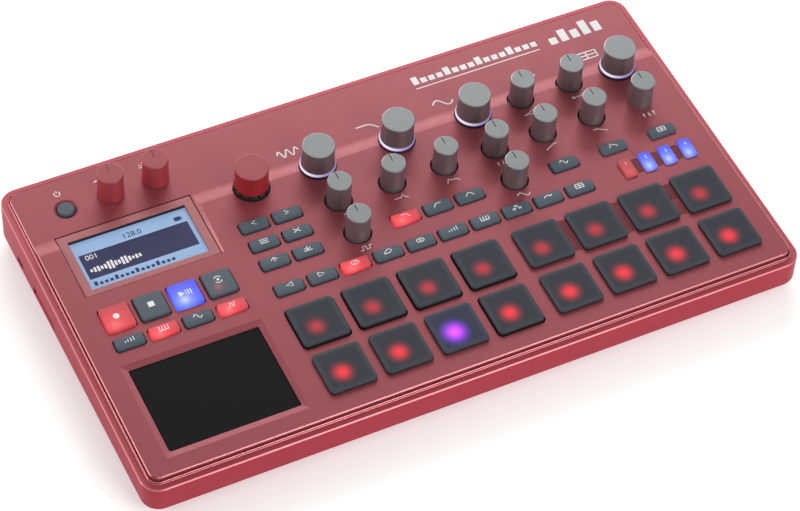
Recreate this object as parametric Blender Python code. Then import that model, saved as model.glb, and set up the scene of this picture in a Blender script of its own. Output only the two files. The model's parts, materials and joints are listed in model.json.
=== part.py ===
"""Desktop drum machine: a flat metal box with 16 pads, 18 knobs, keys, a touch pad and a display.

Every physical piece is one object. Sizes below are in millimetres and MM turns them into
Blender's metres. The origin is on the table, under the middle of the case: +X is to the
player's right, +Y to the rear and +Z up. Controls stand on the sloping panel, so they are
children of the empty "panel_frame", whose XY plane is the panel's face.
"""
import math

import bmesh
import bpy
from mathutils import Vector

MM = 0.001

# ---- Case -------------------------------------------------------------------------------
WIDTH = 339.0
DEPTH = 188.0
CASE_CORNER = 9.0
FOOT_HEIGHT = 2.7
CASE_BOTTOM = 3.0
SKIRT_EDGE = 5.5            # lower edge of the side walls, above the bevelled underside
SKIRT_INSET = 4.0
LEDGE_FRONT = 19.7          # height of the ledge round the panel, at the front wall
PANEL_FRONT = 23.2          # height of the panel's face, at the front wall
SLOPE = math.radians(2.5)   # the top rises to the rear
EDGE_CHAMFER = 0.5
RIM_INSET = 3.5
RIM_RISE = 1.3
WALL = 3.95                 # thickness of the side walls
FLOOR_TOP = 5.5
BOSS_R = 3.2                # bosses that hold the panel stand inside the walls
BOSS_INSET = 6.0
SIDE_BOSSES = (-56.4, 37.6)
END_BOSSES = (-19.6, 19.6)

# ---- Panel ------------------------------------------------------------------------------
PANEL_INSET = 4.3
PANEL_THICK = 1.8
PANEL_SKIRT = 4.0
PANEL_SKIRT_WIDTH = 2.5
STEP_START = 48.0           # the rear of the panel lies a little lower, past a soft slope
STEP_END = 56.0
STEP_DROP = 1.5
PANEL_MID = PANEL_FRONT + math.tan(SLOPE) * DEPTH / 2

# ---- Controls: places on the panel, measured from the middle of the case --------------------
GAP = 0.3                   # clearance between neighbouring pieces
PAD_SIZE = 23.8
PAD_HEIGHT = 2.0
PAD_PITCH_X = 28.7
PAD_GROUP_GAP = 2.9
PAD_X0 = -61.0
PAD_ROWS = {"lower": -67.8, "upper": -38.9}
PAD_CORNER = 2.0

KEY_PITCH = 17.1
KEY_SIZE = (14.1, 6.3)
KEY_HEIGHT = 1.6
KEY_GAP = 0.4
KEY_CORNER = 1.2
KEY_X0 = -64.85
KEY_ROWS = (-15.05, 1.45, 13.5, 25.5)
LEFT_X = -119.5             # middle of the touch pad, the display and the transport buttons
TRANSPORT_SIZE = (14.1, 14.1)
TRANSPORT_Y = 0.1
BAR_SIZE = (6.5, 11.3)
BAR_X0 = 116.5
BAR_PITCH = 11.05
BAR_Y = -13.05
WEB_MARGIN = 0.7
WEB_TOP = -2.2              # silicone webs and flanges lie under the panel
WEB_BOTTOM = -3.2
FLANGE_MARGIN = 1.0

KNOB_COLUMNS = (-21.3, 7.2, 35.2, 62.7, 89.2, 116.4, 143.5)
KNOB_ROWS = (2.5, 24.0, 48.0)
KNOB_TOP = 15.0
KNOB_EDGE = 0.4
SMALL_KNOB_R = (6.15, 6.3)  # radius at the cap and at the foot
SMALL_KNOB_FOOT = -0.9      # small knobs dip into their holes
SMALL_HOLE_R = 6.9
LEVEL_KNOB_R = (6.55, 6.8)
LEVEL_KNOB_FOOT = 0.3
LEVEL_HOLE_R = 6.0
BIG_KNOB_R = (8.2, 8.5)
BIG_KNOB_FOOT = 2.7         # large encoders turn above their rings
RING_IN_R = 7.0
RING_OUT_R = 8.9
RING_HOLE_R = 9.25
RING_TOP = 2.2
LEVEL_Y = 72.0
VOLUME_X = -119.1
INPUT_X = -96.0
POWER_X = -142.4
POWER_Y = 71.0
POWER_HEIGHT = 0.7
POWER_R = 4.2
POWER_HOLE_R = 4.6
POWER_DISH_R = 5.8
POWER_DISH_DEPTH = 0.9

# ---- Touch pad and display ------------------------------------------------------------------
TOUCH_Y = -53.65
TOUCH_SIZE = (65.0, 49.1)
TOUCH_FRAME = (70.6, 55.2)
TOUCH_DEPTH = 1.0
DISPLAY_Y = 36.6
DISPLAY_OPENING = (69.3, 39.8)
BEZEL_SIZE = (68.4, 38.8)
BEZEL_THICK = 1.5
BEZEL_TILT = -0.0256        # the bezel is closer to level than the panel
BEZEL_TOP = -1.1
WINDOW_SIZE = (59.4, 31.0)
WINDOW_SHIFT = -0.3
LCD_SIZE = (64.0, 35.0)
LCD_THICK = 1.4
CHEEK_SLANT = 1.1           # cheek beside the display, which deepens to the rear
CHEEK_DEPTHS = (1.1, 2.26)

# ---- Inside -----------------------------------------------------------------------------------
BOARD_SIZE = (314.0, 168.0)
BOARD_TOP = -5.2
BOARD_THICK = 1.6
POT_R = 5.5
POT_TOP = -3.6
REAR_POT_TOP = -4.1
SHAFT_R = 2.8
SHAFT_TOP = 8.0
BORE_R = 3.1
BORE_TOP = 9.0

# ---- Battery bay, sockets and slots --------------------------------------------------------------
BAY_X = 52.0
BAY_Y = (22.0, 67.0)
BAY_ROOF = 19.9
BAY_TOP = 21.0
BAY_WALL = 2.5
DOOR_LAP = 3.0
DOOR_TOP = 5.0
DOOR_TRAVEL = 8.0
SOCKET_Z = 15.0
SOCKET_MARGIN = 8.0         # how far a bracket or board passes its outer sockets
OUTPUT_X = (72.0, 94.0)
OUTPUT_BORE_R = 3.3
OUTPUT_R = 6.0
OUTPUT_DEPTH = 27.0
MINI_X = (-118.0, -103.0, -88.0, -73.0, -58.0, -43.0)
MINI_R = 3.9
MINI_BORE_R = 1.85
MINI_DEPTH = 15.0
POWER_INLET_X = -136.0
POWER_INLET_R = 4.8
POWER_INLET_BORE_R = 3.1
POWER_PIN_R = 1.0
CARD_Y = (19.0, 46.0)
CARD_TOP = 12.8
CARD_DEPTH = 2.6
CARD_SLOT_HEIGHT = 2.6
LOCK_SLOT_Y = 63.5
LOCK_SLOT_Z = 10.8
LOCK_SLOT_SIZE = (7.0, 3.0)
FOOT_X = 148.0
FOOT_Y = 72.0
FOOT_R = 7.5

COLOURS = {                  # base colour, metallic, roughness
    "red_metal": ((0.42, 0.045, 0.06), 0.55, 0.42),
    "red_plastic": ((0.46, 0.03, 0.045), 0.1, 0.35),
    "slate_rubber": ((0.045, 0.055, 0.065), 0.0, 0.55),
    "knob_grey": ((0.09, 0.08, 0.085), 0.1, 0.45),
    "black": ((0.015, 0.015, 0.016), 0.0, 0.3),
    "lcd_blue": ((0.3, 0.5, 0.75), 0.0, 0.2),
    "board_green": ((0.02, 0.16, 0.07), 0.0, 0.5),
    "foot_rubber": ((0.03, 0.03, 0.03), 0.0, 0.8),
}


# ---- Building blocks ------------------------------------------------------------------------------
def material(slot):
    """Return the named material, made on first use."""
    if slot in bpy.data.materials:
        return bpy.data.materials[slot]
    colour, metallic, roughness = COLOURS[slot]
    made = bpy.data.materials.new(slot)
    made.use_nodes = True
    shader = made.node_tree.nodes["Principled BSDF"]
    shader.inputs["Base Color"].default_value = (*colour, 1.0)
    shader.inputs["Metallic"].default_value = metallic
    shader.inputs["Roughness"].default_value = roughness
    return made


def rounded_rectangle(size, corner, steps=1):
    """Outline of a rectangle whose corners are arcs of the given number of steps."""
    half_x, half_y = size[0] / 2 - corner, size[1] / 2 - corner
    outline = []
    for index, (sx, sy) in enumerate(((1, 1), (-1, 1), (-1, -1), (1, -1))):
        for step in range(steps + 1):
            angle = math.radians(90 * (index + step / steps))
            outline.append((sx * half_x + corner * math.cos(angle),
                            sy * half_y + corner * math.sin(angle)))
    return outline


def add_loft(bm, rings):
    """Add a closed solid through rings of 3-D points, each with as many points."""
    loops = [[bm.verts.new(point) for point in ring] for ring in rings]
    count = len(loops[0])
    for lower, upper in zip(loops, loops[1:]):
        for i in range(count):
            j = (i + 1) % count
            bm.faces.new((lower[i], lower[j], upper[j], upper[i]))
    bm.faces.new(list(reversed(loops[0])))
    bm.faces.new(loops[-1])


def add_stack(bm, layers, centre=(0.0, 0.0), steps=1):
    """Add a solid of rounded rectangles: layers are (size, corner, height), upwards."""
    rings = []
    for size, corner, height in layers:
        outline = rounded_rectangle(size, corner, steps)
        rings.append([(centre[0] + x, centre[1] + y, height) for x, y in outline])
    add_loft(bm, rings)


def add_box(bm, low, high):
    """Add a box between two corners."""
    corners = ((low[0], low[1]), (high[0], low[1]), (high[0], high[1]), (low[0], high[1]))
    add_loft(bm, [[(x, y, z) for x, y in corners] for z in (low[2], high[2])])


def add_turned(bm, profile, segments, centre=(0.0, 0.0, 0.0), along_y=False):
    """Add a solid of revolution. The profile's (radius, height) points run round its section.

    A profile that starts and ends on the axis is a plain turning; any other is a closed ring.
    """
    open_profile = profile[0][0] == 0 and profile[-1][0] == 0
    loops = []
    for radius, height in profile:
        if radius == 0:
            spot = (0, height, 0) if along_y else (0, 0, height)
            loops.append([bm.verts.new(Vector(spot) + Vector(centre))])
            continue
        loop = []
        for i in range(segments):
            angle = 2 * math.pi * (i + 0.5) / segments
            a, b = radius * math.cos(angle), radius * math.sin(angle)
            spot = (a, height, b) if along_y else (a, b, height)
            loop.append(bm.verts.new(Vector(spot) + Vector(centre)))
        loops.append(loop)
    pairs = list(zip(loops, loops[1:]))
    if not open_profile:
        pairs.append((loops[-1], loops[0]))
    for first, second in pairs:
        for i in range(segments):
            j = (i + 1) % segments
            if len(first) == 1:
                bm.faces.new((first[0], second[j], second[i]))
            elif len(second) == 1:
                bm.faces.new((first[i], first[j], second[0]))
            else:
                bm.faces.new((first[i], first[j], second[j], second[i]))


def make_object(name, bm, slot=None, parent=None, place=(0, 0, 0), tilt=0.0):
    """Turn a mesh in millimetres into an object of its own, at a place in millimetres."""
    bmesh.ops.recalc_face_normals(bm, faces=bm.faces)
    bmesh.ops.scale(bm, vec=(MM, MM, MM), verts=bm.verts)
    mesh = bpy.data.meshes.new(name)
    bm.to_mesh(mesh)
    bm.free()
    made = bpy.data.objects.new(name, mesh)
    bpy.context.collection.objects.link(made)
    made.location = Vector(place) * MM
    made.rotation_euler.x = tilt
    made.parent = parent
    if slot:
        mesh.materials.append(material(slot))
    else:
        made.hide_render = True
        made.display_type = "WIRE"
    return made


def combine(target, other, operation):
    """Join or cut with another object, by a modifier."""
    modifier = target.modifiers.new(other.name, "BOOLEAN")
    modifier.operation = operation
    modifier.solver = "EXACT"
    modifier.object = other


def smooth(made, angle=35):
    """Shade round pieces smooth, with their edges kept sharp."""
    made.data.shade_smooth()
    made.data.set_sharp_from_angle(angle=math.radians(angle))


def slope_height(y):
    """How far the sloping top has risen above its height at the front wall."""
    return math.tan(SLOPE) * (y + DEPTH / 2)


def grow(size, margin):
    """A rectangle's size with a margin added all round."""
    return (size[0] + 2 * margin, size[1] + 2 * margin)


# ---- Case -------------------------------------------------------------------------------------------
def outline_ring(inset, height):
    """A level ring that follows the case's outline at an inset."""
    size = (WIDTH - 2 * inset, DEPTH - 2 * inset)
    outline = rounded_rectangle(size, max(CASE_CORNER - inset, 2.0), 4)
    return [(x, y, height) for x, y in outline]


def sloped_ring(inset, height):
    """A ring that rises with the sloping top."""
    return [(x, y, z + slope_height(y)) for x, y, z in outline_ring(inset, height)]


def boss_places():
    """Where bosses hold the panel, inside the walls."""
    side_x, end_y = WIDTH / 2 - BOSS_INSET, DEPTH / 2 - BOSS_INSET
    places = [(sx * side_x, y) for sx in (-1, 1) for y in SIDE_BOSSES]
    places += [(x, sy * end_y) for sy in (-1, 1) for x in END_BOSSES]
    return places


def build_case():
    """Bottom case: bevelled tray with a stepped rim, bosses and the battery bay."""
    bm = bmesh.new()
    add_loft(bm, [
        outline_ring(SKIRT_INSET, CASE_BOTTOM),
        outline_ring(0, SKIRT_EDGE),
        sloped_ring(0, LEDGE_FRONT - EDGE_CHAMFER),
        sloped_ring(EDGE_CHAMFER, LEDGE_FRONT),
        sloped_ring(RIM_INSET, LEDGE_FRONT),
        sloped_ring(RIM_INSET, LEDGE_FRONT + RIM_RISE),
        sloped_ring(WALL, LEDGE_FRONT + RIM_RISE),
        outline_ring(WALL, FLOOR_TOP + SKIRT_EDGE - CASE_BOTTOM),
        outline_ring(WALL + SKIRT_INSET, FLOOR_TOP),
    ])
    case = make_object("bottom_case", bm, "red_metal")

    bm = bmesh.new()
    bay_low, bay_high = BAY_Y
    house_x = BAY_X + BAY_WALL
    house_y = (bay_low - BAY_WALL, bay_high + BAY_WALL)
    add_box(bm, (-house_x, house_y[0], FLOOR_TOP - 1), (house_x, house_y[1], BAY_TOP))
    combine(case, make_object("bay_housing", bm), "UNION")

    bm = bmesh.new()
    recess_x = BAY_X + DOOR_LAP + GAP
    recess_y = (bay_low - DOOR_LAP - DOOR_TRAVEL - GAP, bay_high + DOOR_LAP + GAP)
    frame_x, frame_y = recess_x + 2, (recess_y[0] - 2, recess_y[1] + 2)
    add_box(bm, (-frame_x, frame_y[0], FLOOR_TOP - 1), (frame_x, frame_y[1], FLOOR_TOP + 2))
    combine(case, make_object("door_frame", bm), "UNION")

    bm = bmesh.new()
    for x, y in boss_places():
        drop = STEP_DROP if y > STEP_START else 0
        top = PANEL_FRONT + slope_height(y - BOSS_R) - PANEL_SKIRT - GAP - drop
        profile = [(0, FLOOR_TOP - 1), (BOSS_R, FLOOR_TOP - 1), (BOSS_R, top), (0, top)]
        add_turned(bm, profile, 10, (x, y, 0))
    combine(case, make_object("bosses", bm), "UNION")

    bm = bmesh.new()
    add_box(bm, (-recess_x, recess_y[0], CASE_BOTTOM - 1), (recess_x, recess_y[1], DOOR_TOP + GAP))
    combine(case, make_object("door_recess_cut", bm), "DIFFERENCE")

    bm = bmesh.new()
    add_box(bm, (-BAY_X, bay_low, CASE_BOTTOM - 1), (BAY_X, bay_high, BAY_ROOF))
    for x in OUTPUT_X:
        add_turned(bm, socket_plug(OUTPUT_R + GAP), 16, (x, 0, SOCKET_Z), along_y=True)
    for x in MINI_X:
        add_turned(bm, socket_plug(MINI_R + GAP), 12, (x, 0, SOCKET_Z), along_y=True)
    add_turned(bm, socket_plug(POWER_INLET_R + GAP), 16, (POWER_INLET_X, 0, SOCKET_Z), along_y=True)
    outside, inside = -WIDTH / 2 - 1, -WIDTH / 2 + WALL + 1
    lock_y, lock_z = LOCK_SLOT_SIZE[0] / 2, LOCK_SLOT_SIZE[1] / 2
    add_box(bm, (outside, LOCK_SLOT_Y - lock_y, LOCK_SLOT_Z - lock_z),
            (inside, LOCK_SLOT_Y + lock_y, LOCK_SLOT_Z + lock_z))
    add_box(bm, (outside, CARD_Y[0] + 1, CARD_TOP - CARD_SLOT_HEIGHT), (inside, CARD_Y[1] - 1, CARD_TOP))
    combine(case, make_object("openings_cut", bm), "DIFFERENCE")

    bm = bmesh.new()
    face, back = -WIDTH / 2, -WIDTH / 2 + CARD_DEPTH
    scoop = [(outside, SKIRT_EDGE), (face, SKIRT_EDGE), (back, CARD_TOP - 2), (back, CARD_TOP),
             (outside, CARD_TOP)]
    add_loft(bm, [[(x, y, z) for x, z in scoop] for y in CARD_Y])
    combine(case, make_object("card_scoop_cut", bm), "DIFFERENCE")


def socket_plug(radius):
    """Profile of a plug that cuts a round hole in the rear wall."""
    near, far = DEPTH / 2 - WALL - 1, DEPTH / 2 + 1
    return [(0, near), (radius, near), (radius, far), (0, far)]


def build_battery_door():
    """Door under the bay. It slides forwards to unlatch."""
    bm = bmesh.new()
    middle = sum(BAY_Y) / 2
    size = (2 * (BAY_X + DOOR_LAP), BAY_Y[1] - BAY_Y[0] + 2 * DOOR_LAP)
    add_stack(bm, [(size, 1.0, 0), (size, 1.0, DOOR_TOP - CASE_BOTTOM)])
    make_object("battery_door", bm, "red_plastic", place=(0, middle, CASE_BOTTOM))


def build_feet():
    """Four rubber feet."""
    for row, sy in (("front", -1), ("rear", 1)):
        for side, sx in (("left", -1), ("right", 1)):
            bm = bmesh.new()
            add_turned(bm, [(0, FOOT_HEIGHT), (FOOT_R, FOOT_HEIGHT), (FOOT_R - 0.6, 0), (0, 0)], 16)
            place = (sx * FOOT_X, sy * FOOT_Y, 0)
            smooth(make_object(f"foot_{row}_{side}", bm, "foot_rubber", place=place))


# ---- Sockets at the rear ------------------------------------------------------------------------------
def build_sockets():
    """Two large output sockets on a bracket, and a board with the small sockets."""
    rear = DEPTH / 2
    bm = bmesh.new()
    near = rear - OUTPUT_DEPTH
    add_box(bm, (OUTPUT_X[0] - SOCKET_MARGIN, near, SOCKET_Z - 7.5),
            (OUTPUT_X[1] + SOCKET_MARGIN, rear - WALL - 3, SOCKET_Z - 5))
    bracket = make_object("output_sockets", bm, "black")
    bm = bmesh.new()
    profile = [(OUTPUT_R, near), (OUTPUT_R, rear), (OUTPUT_BORE_R, rear), (OUTPUT_BORE_R, near)]
    for x in OUTPUT_X:
        add_turned(bm, profile, 16, (x, 0, SOCKET_Z), along_y=True)
    combine(bracket, make_object("output_barrels", bm), "UNION")

    bm = bmesh.new()
    near = rear - MINI_DEPTH
    add_box(bm, (POWER_INLET_X - SOCKET_MARGIN, near, SOCKET_Z - 5.6),
            (MINI_X[-1] + SOCKET_MARGIN, rear - WALL - 1, SOCKET_Z - 3.2))
    board = make_object("rear_jack_board", bm, "board_green")
    bm = bmesh.new()
    back = near + 2
    profile = [(0, near), (MINI_R, near), (MINI_R, rear), (MINI_BORE_R, rear), (MINI_BORE_R, back),
               (0, back)]
    for x in MINI_X:
        add_turned(bm, profile, 12, (x, 0, SOCKET_Z), along_y=True)
    profile = [(0, near), (POWER_INLET_R, near), (POWER_INLET_R, rear), (POWER_INLET_BORE_R, rear),
               (POWER_INLET_BORE_R, back), (POWER_PIN_R, back), (POWER_PIN_R, rear - 1), (0, rear - 1)]
    add_turned(bm, profile, 16, (POWER_INLET_X, 0, SOCKET_Z), along_y=True)
    combine(board, make_object("small_sockets", bm), "UNION")


# ---- Panel --------------------------------------------------------------------------------------------
def step_down(bm):
    """Lower the panel's rear part, past a soft slope across its whole width."""
    for place in (STEP_START, STEP_END):
        bmesh.ops.bisect_plane(bm, geom=bm.verts[:] + bm.edges[:] + bm.faces[:], dist=1e-4,
                               plane_co=(0, place, 0), plane_no=(0, 1, 0))
    for vert in bm.verts:
        share = (vert.co.y - STEP_START) / (STEP_END - STEP_START)
        vert.co.z -= STEP_DROP * min(max(share, 0.0), 1.0)


def key_places():
    """Name, size and place of every key, button and bar on the panel, by keypad."""
    columns = [KEY_X0 + KEY_PITCH * i for i in range(10)]
    left = [LEFT_X + KEY_PITCH * (i - 1.5) for i in range(4)]
    pads = {
        "menu_keypad": [(KEY_SIZE, columns[i], y) for y in KEY_ROWS for i in (0, 1)],
        "mode_keypad": [(KEY_SIZE, columns[i], KEY_ROWS[0]) for i in range(2, 10)],
        "filter_keypad": [(KEY_SIZE, columns[i], KEY_ROWS[1]) for i in (4, 5, 6)],
        "touch_keypad": [(KEY_SIZE, x, KEY_ROWS[0]) for x in left],
        "bar_keypad": [(BAR_SIZE, BAR_X0 + BAR_PITCH * i, BAR_Y) for i in range(4)],
    }
    for name, column in (("mod_send_key", 4), ("amp_env_key", 5), ("effect_on_key", 6)):
        pads[name] = [(KEY_SIZE, KNOB_COLUMNS[column], KEY_ROWS[1])]
    for name, x in zip(("record_button", "stop_button", "play_button", "tap_button"), left):
        pads[name] = [(TRANSPORT_SIZE, x, TRANSPORT_Y)]
    return pads


def pad_places():
    """Name and place of each of the sixteen pads."""
    places = {}
    for row, y in PAD_ROWS.items():
        for i in range(8):
            x = PAD_X0 + PAD_PITCH_X * i + (PAD_GROUP_GAP if i > 3 else 0)
            places[f"pad_{row}_{i + 1}"] = (x, y)
    return places


def small_knobs():
    """Name and place of each small knob."""
    low, middle, high = KNOB_ROWS
    names = ("pitch_knob", "resonance_knob", "filter_env_knob", "mod_depth_knob", "attack_knob",
             "decay_knob", "effect_edit_knob")
    places = {name: (x, middle) for name, x in zip(names, KNOB_COLUMNS)}
    places["sound_edit_knob"] = (KNOB_COLUMNS[0], low)
    places["mod_speed_knob"] = (KNOB_COLUMNS[3], low)
    places["level_knob"] = (KNOB_COLUMNS[4], high)
    places["pan_knob"] = (KNOB_COLUMNS[5], high)
    return places


def encoders():
    """Name and place of each large encoder."""
    row = KNOB_ROWS[2]
    return {
        "value_encoder": (KEY_X0 + KEY_PITCH / 2, row),
        "sound_encoder": (KNOB_COLUMNS[0], row),
        "filter_encoder": ((KNOB_COLUMNS[1] + KNOB_COLUMNS[2]) / 2, row),
        "modulation_encoder": (KNOB_COLUMNS[3], row),
        "effect_encoder": (KNOB_COLUMNS[6], row),
    }


def level_knobs():
    """Name and place of the two knobs at the rear left."""
    return {"volume_knob": (VOLUME_X, LEVEL_Y), "input_level_knob": (INPUT_X, LEVEL_Y)}


def build_panel(frame):
    """Top panel with every opening cut."""
    bm = bmesh.new()
    inner = PANEL_INSET + PANEL_SKIRT_WIDTH
    add_loft(bm, [
        outline_ring(inner, -PANEL_THICK),
        outline_ring(inner, -PANEL_SKIRT),
        outline_ring(PANEL_INSET, -PANEL_SKIRT),
        outline_ring(PANEL_INSET, -EDGE_CHAMFER),
        outline_ring(PANEL_INSET + EDGE_CHAMFER, 0),
    ])
    step_down(bm)
    panel = make_object("top_panel", bm, "red_metal", frame)

    low, high = -PANEL_THICK - STEP_DROP - 2, 2.0
    bm = bmesh.new()
    for x, y in pad_places().values():
        hole = grow((PAD_SIZE, PAD_SIZE), KEY_GAP)
        add_stack(bm, [(hole, PAD_CORNER, low), (hole, PAD_CORNER, high)], (x, y))
    for keys in key_places().values():
        for size, x, y in keys:
            hole = grow(size, KEY_GAP)
            add_stack(bm, [(hole, KEY_CORNER, low), (hole, KEY_CORNER, high)], (x, y))
    round_holes = [(place, SMALL_HOLE_R) for place in small_knobs().values()]
    round_holes += [(place, LEVEL_HOLE_R) for place in level_knobs().values()]
    round_holes += [(place, RING_HOLE_R) for place in encoders().values()]
    for (x, y), radius in round_holes:
        add_turned(bm, [(0, low), (radius, low), (radius, high), (0, high)], 20, (x, y, 0))
    dish = [(0, low), (POWER_HOLE_R, low), (POWER_HOLE_R, -STEP_DROP - POWER_DISH_DEPTH),
            (POWER_DISH_R, -STEP_DROP), (POWER_DISH_R, high), (0, high)]
    add_turned(bm, dish, 20, (POWER_X, POWER_Y, 0))
    add_stack(bm, [
        (TOUCH_SIZE, 0.8, low),
        (TOUCH_SIZE, 0.8, -TOUCH_DEPTH),
        (TOUCH_FRAME, 0.8, 0),
        (TOUCH_FRAME, 0.8, high),
    ], (LEFT_X, TOUCH_Y))
    add_stack(bm, [(DISPLAY_OPENING, 0.6, low), (DISPLAY_OPENING, 0.6, high)], (LEFT_X, DISPLAY_Y))
    combine(panel, make_object("panel_openings_cut", bm, parent=frame), "DIFFERENCE")

    bm = bmesh.new()
    edge = LEFT_X + DISPLAY_OPENING[0] / 2 - GAP
    ends = (DISPLAY_Y - DISPLAY_OPENING[1] / 2 + KEY_GAP, DISPLAY_Y + DISPLAY_OPENING[1] / 2)
    sections = []
    for y, depth in zip(ends, CHEEK_DEPTHS):
        reach = CHEEK_SLANT * (high + depth)
        sections.append([(edge, y, -depth), (edge, y, high), (edge + reach, y, high)])
    add_loft(bm, sections)
    combine(panel, make_object("display_cheek_cut", bm, parent=frame), "DIFFERENCE")


def build_display(frame):
    """Bezel plate round the window, and the display module behind it."""
    bm = bmesh.new()
    add_stack(bm, [(BEZEL_SIZE, 0.6, -BEZEL_THICK), (BEZEL_SIZE, 0.6, 0)])
    place = (LEFT_X, DISPLAY_Y, BEZEL_TOP)
    bezel = make_object("display_bezel", bm, "red_plastic", frame, place, BEZEL_TILT)
    bm = bmesh.new()
    add_stack(bm, [(WINDOW_SIZE, 0.5, -BEZEL_THICK - 1), (WINDOW_SIZE, 0.5, 1)], (0, WINDOW_SHIFT))
    combine(bezel, make_object("window_cut", bm, None, frame, place, BEZEL_TILT), "DIFFERENCE")
    bm = bmesh.new()
    add_stack(bm, [(LCD_SIZE, 0.6, -LCD_THICK), (LCD_SIZE, 0.6, 0)])
    place = (LEFT_X, DISPLAY_Y, BEZEL_TOP - BEZEL_THICK - GAP)
    make_object("display_module", bm, "lcd_blue", frame, place, BEZEL_TILT)


def build_touch_plate(frame):
    """Touch pad plate, at the bottom of its bevelled frame."""
    bm = bmesh.new()
    size = grow(TOUCH_SIZE, -GAP)
    add_stack(bm, [(size, 0.6, -2.0), (size, 0.6, 0)])
    make_object("touch_plate", bm, "black", frame, (LEFT_X, TOUCH_Y, -TOUCH_DEPTH))


def build_pads(frame):
    """Sixteen rubber pads, each with a flange under the panel."""
    flange = grow((PAD_SIZE, PAD_SIZE), FLANGE_MARGIN + KEY_GAP)
    layers = [
        (flange, PAD_CORNER, WEB_BOTTOM),
        (flange, PAD_CORNER, WEB_TOP),
        ((PAD_SIZE, PAD_SIZE), PAD_CORNER, WEB_TOP),
        ((PAD_SIZE, PAD_SIZE), PAD_CORNER, PAD_HEIGHT - 0.8),
        (grow((PAD_SIZE, PAD_SIZE), -0.3), PAD_CORNER, PAD_HEIGHT - 0.25),
        (grow((PAD_SIZE, PAD_SIZE), -0.9), PAD_CORNER, PAD_HEIGHT),
    ]
    for name, (x, y) in pad_places().items():
        bm = bmesh.new()
        add_stack(bm, layers)
        make_object(name, bm, "slate_rubber", frame, (x, y, 0))


def key_layers(size, bottom):
    """Layers of one key's stem, with a bevelled top."""
    bevel = 0.5
    return [
        (size, KEY_CORNER, bottom),
        (size, KEY_CORNER, KEY_HEIGHT - bevel),
        (grow(size, -bevel), KEY_CORNER, KEY_HEIGHT),
    ]


def build_keys(frame):
    """Single keys with a flange, and keypads whose keys stand on one silicone web."""
    for name, keys in key_places().items():
        low_x = min(x - size[0] / 2 for size, x, y in keys)
        high_x = max(x + size[0] / 2 for size, x, y in keys)
        low_y = min(y - size[1] / 2 for size, x, y in keys)
        high_y = max(y + size[1] / 2 for size, x, y in keys)
        middle = ((low_x + high_x) / 2, (low_y + high_y) / 2)
        web = grow((high_x - low_x, high_y - low_y), WEB_MARGIN + KEY_GAP)
        slot = "slate_rubber"
        bm = bmesh.new()
        if len(keys) == 1:
            layers = [(web, KEY_CORNER, WEB_BOTTOM), (web, KEY_CORNER, WEB_TOP)]
            add_stack(bm, layers + key_layers(keys[0][0], WEB_TOP))
            make_object(name, bm, slot, frame, (*middle, 0))
            continue
        add_stack(bm, [(web, KEY_CORNER, WEB_BOTTOM), (web, KEY_CORNER, WEB_TOP)])
        keypad = make_object(name, bm, slot, frame, (*middle, 0))
        bm = bmesh.new()
        for size, x, y in keys:
            add_stack(bm, key_layers(size, WEB_TOP - 0.4), (x - middle[0], y - middle[1]))
        combine(keypad, make_object(f"{name}_keys", bm, None, frame, (*middle, 0)), "UNION")


def build_power_button(frame):
    """Round power button in its dish."""
    bm = bmesh.new()
    flange_r = POWER_HOLE_R + FLANGE_MARGIN
    flange_top = -PANEL_THICK - GAP
    flange_bottom = flange_top - 0.6
    profile = [(0, flange_bottom), (flange_r, flange_bottom), (flange_r, flange_top), (POWER_R, flange_top),
               (POWER_R, POWER_HEIGHT - 0.4), (POWER_R - 0.5, POWER_HEIGHT), (0, POWER_HEIGHT)]
    add_turned(bm, profile, 16)
    smooth(make_object("power_button", bm, "slate_rubber", frame, (POWER_X, POWER_Y, -STEP_DROP)))


def build_knobs(frame):
    """Turned knobs, slightly hollow in the waist, with a bore for their shaft."""
    groups = (
        (small_knobs(), SMALL_KNOB_R, SMALL_KNOB_FOOT, 16, "knob_grey", 0.0),
        (level_knobs(), LEVEL_KNOB_R, LEVEL_KNOB_FOOT, 16, "red_plastic", -STEP_DROP),
        (encoders(), BIG_KNOB_R, BIG_KNOB_FOOT, 20, "knob_grey", 0.0),
    )
    for places, (cap_r, foot_r), foot, segments, slot, base in groups:
        profile = [
            (0, KNOB_TOP),
            (cap_r - KNOB_EDGE, KNOB_TOP),
            (cap_r, KNOB_TOP - KNOB_EDGE),
            (cap_r - 0.1, KNOB_TOP / 2),
            (foot_r, foot),
            (BORE_R, foot),
            (BORE_R, BORE_TOP),
            (0, BORE_TOP),
        ]
        for name, (x, y) in places.items():
            bm = bmesh.new()
            add_turned(bm, profile, segments)
            finish = "red_plastic" if name == "value_encoder" else slot
            smooth(make_object(name, bm, finish, frame, (x, y, base)))


def build_board(frame):
    """Control board with the potentiometers, encoders and the rings round the encoders."""
    bm = bmesh.new()
    add_stack(bm, [(BOARD_SIZE, 3.0, BOARD_TOP - BOARD_THICK), (BOARD_SIZE, 3.0, BOARD_TOP)])
    board = make_object("control_board", bm, "board_green", frame)
    bm = bmesh.new()
    root = BOARD_TOP - 0.5
    turnings = [(place, POT_TOP, SHAFT_TOP) for place in small_knobs().values()]
    turnings += [(place, POT_TOP, SHAFT_TOP) for place in encoders().values()]
    turnings += [(place, REAR_POT_TOP, SHAFT_TOP - STEP_DROP) for place in level_knobs().values()]
    for (x, y), body_top, shaft_top in turnings:
        profile = [(0, root), (POT_R, root), (POT_R, body_top), (SHAFT_R, body_top),
                   (SHAFT_R, shaft_top), (0, shaft_top)]
        add_turned(bm, profile, 12, (x, y, 0))
    ring = [(RING_OUT_R, root), (RING_OUT_R, RING_TOP), (RING_IN_R, RING_TOP), (RING_IN_R, root)]
    for x, y in encoders().values():
        add_turned(bm, ring, 20, (x, y, 0))
    combine(board, make_object("board_parts", bm, None, frame), "UNION")


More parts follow.
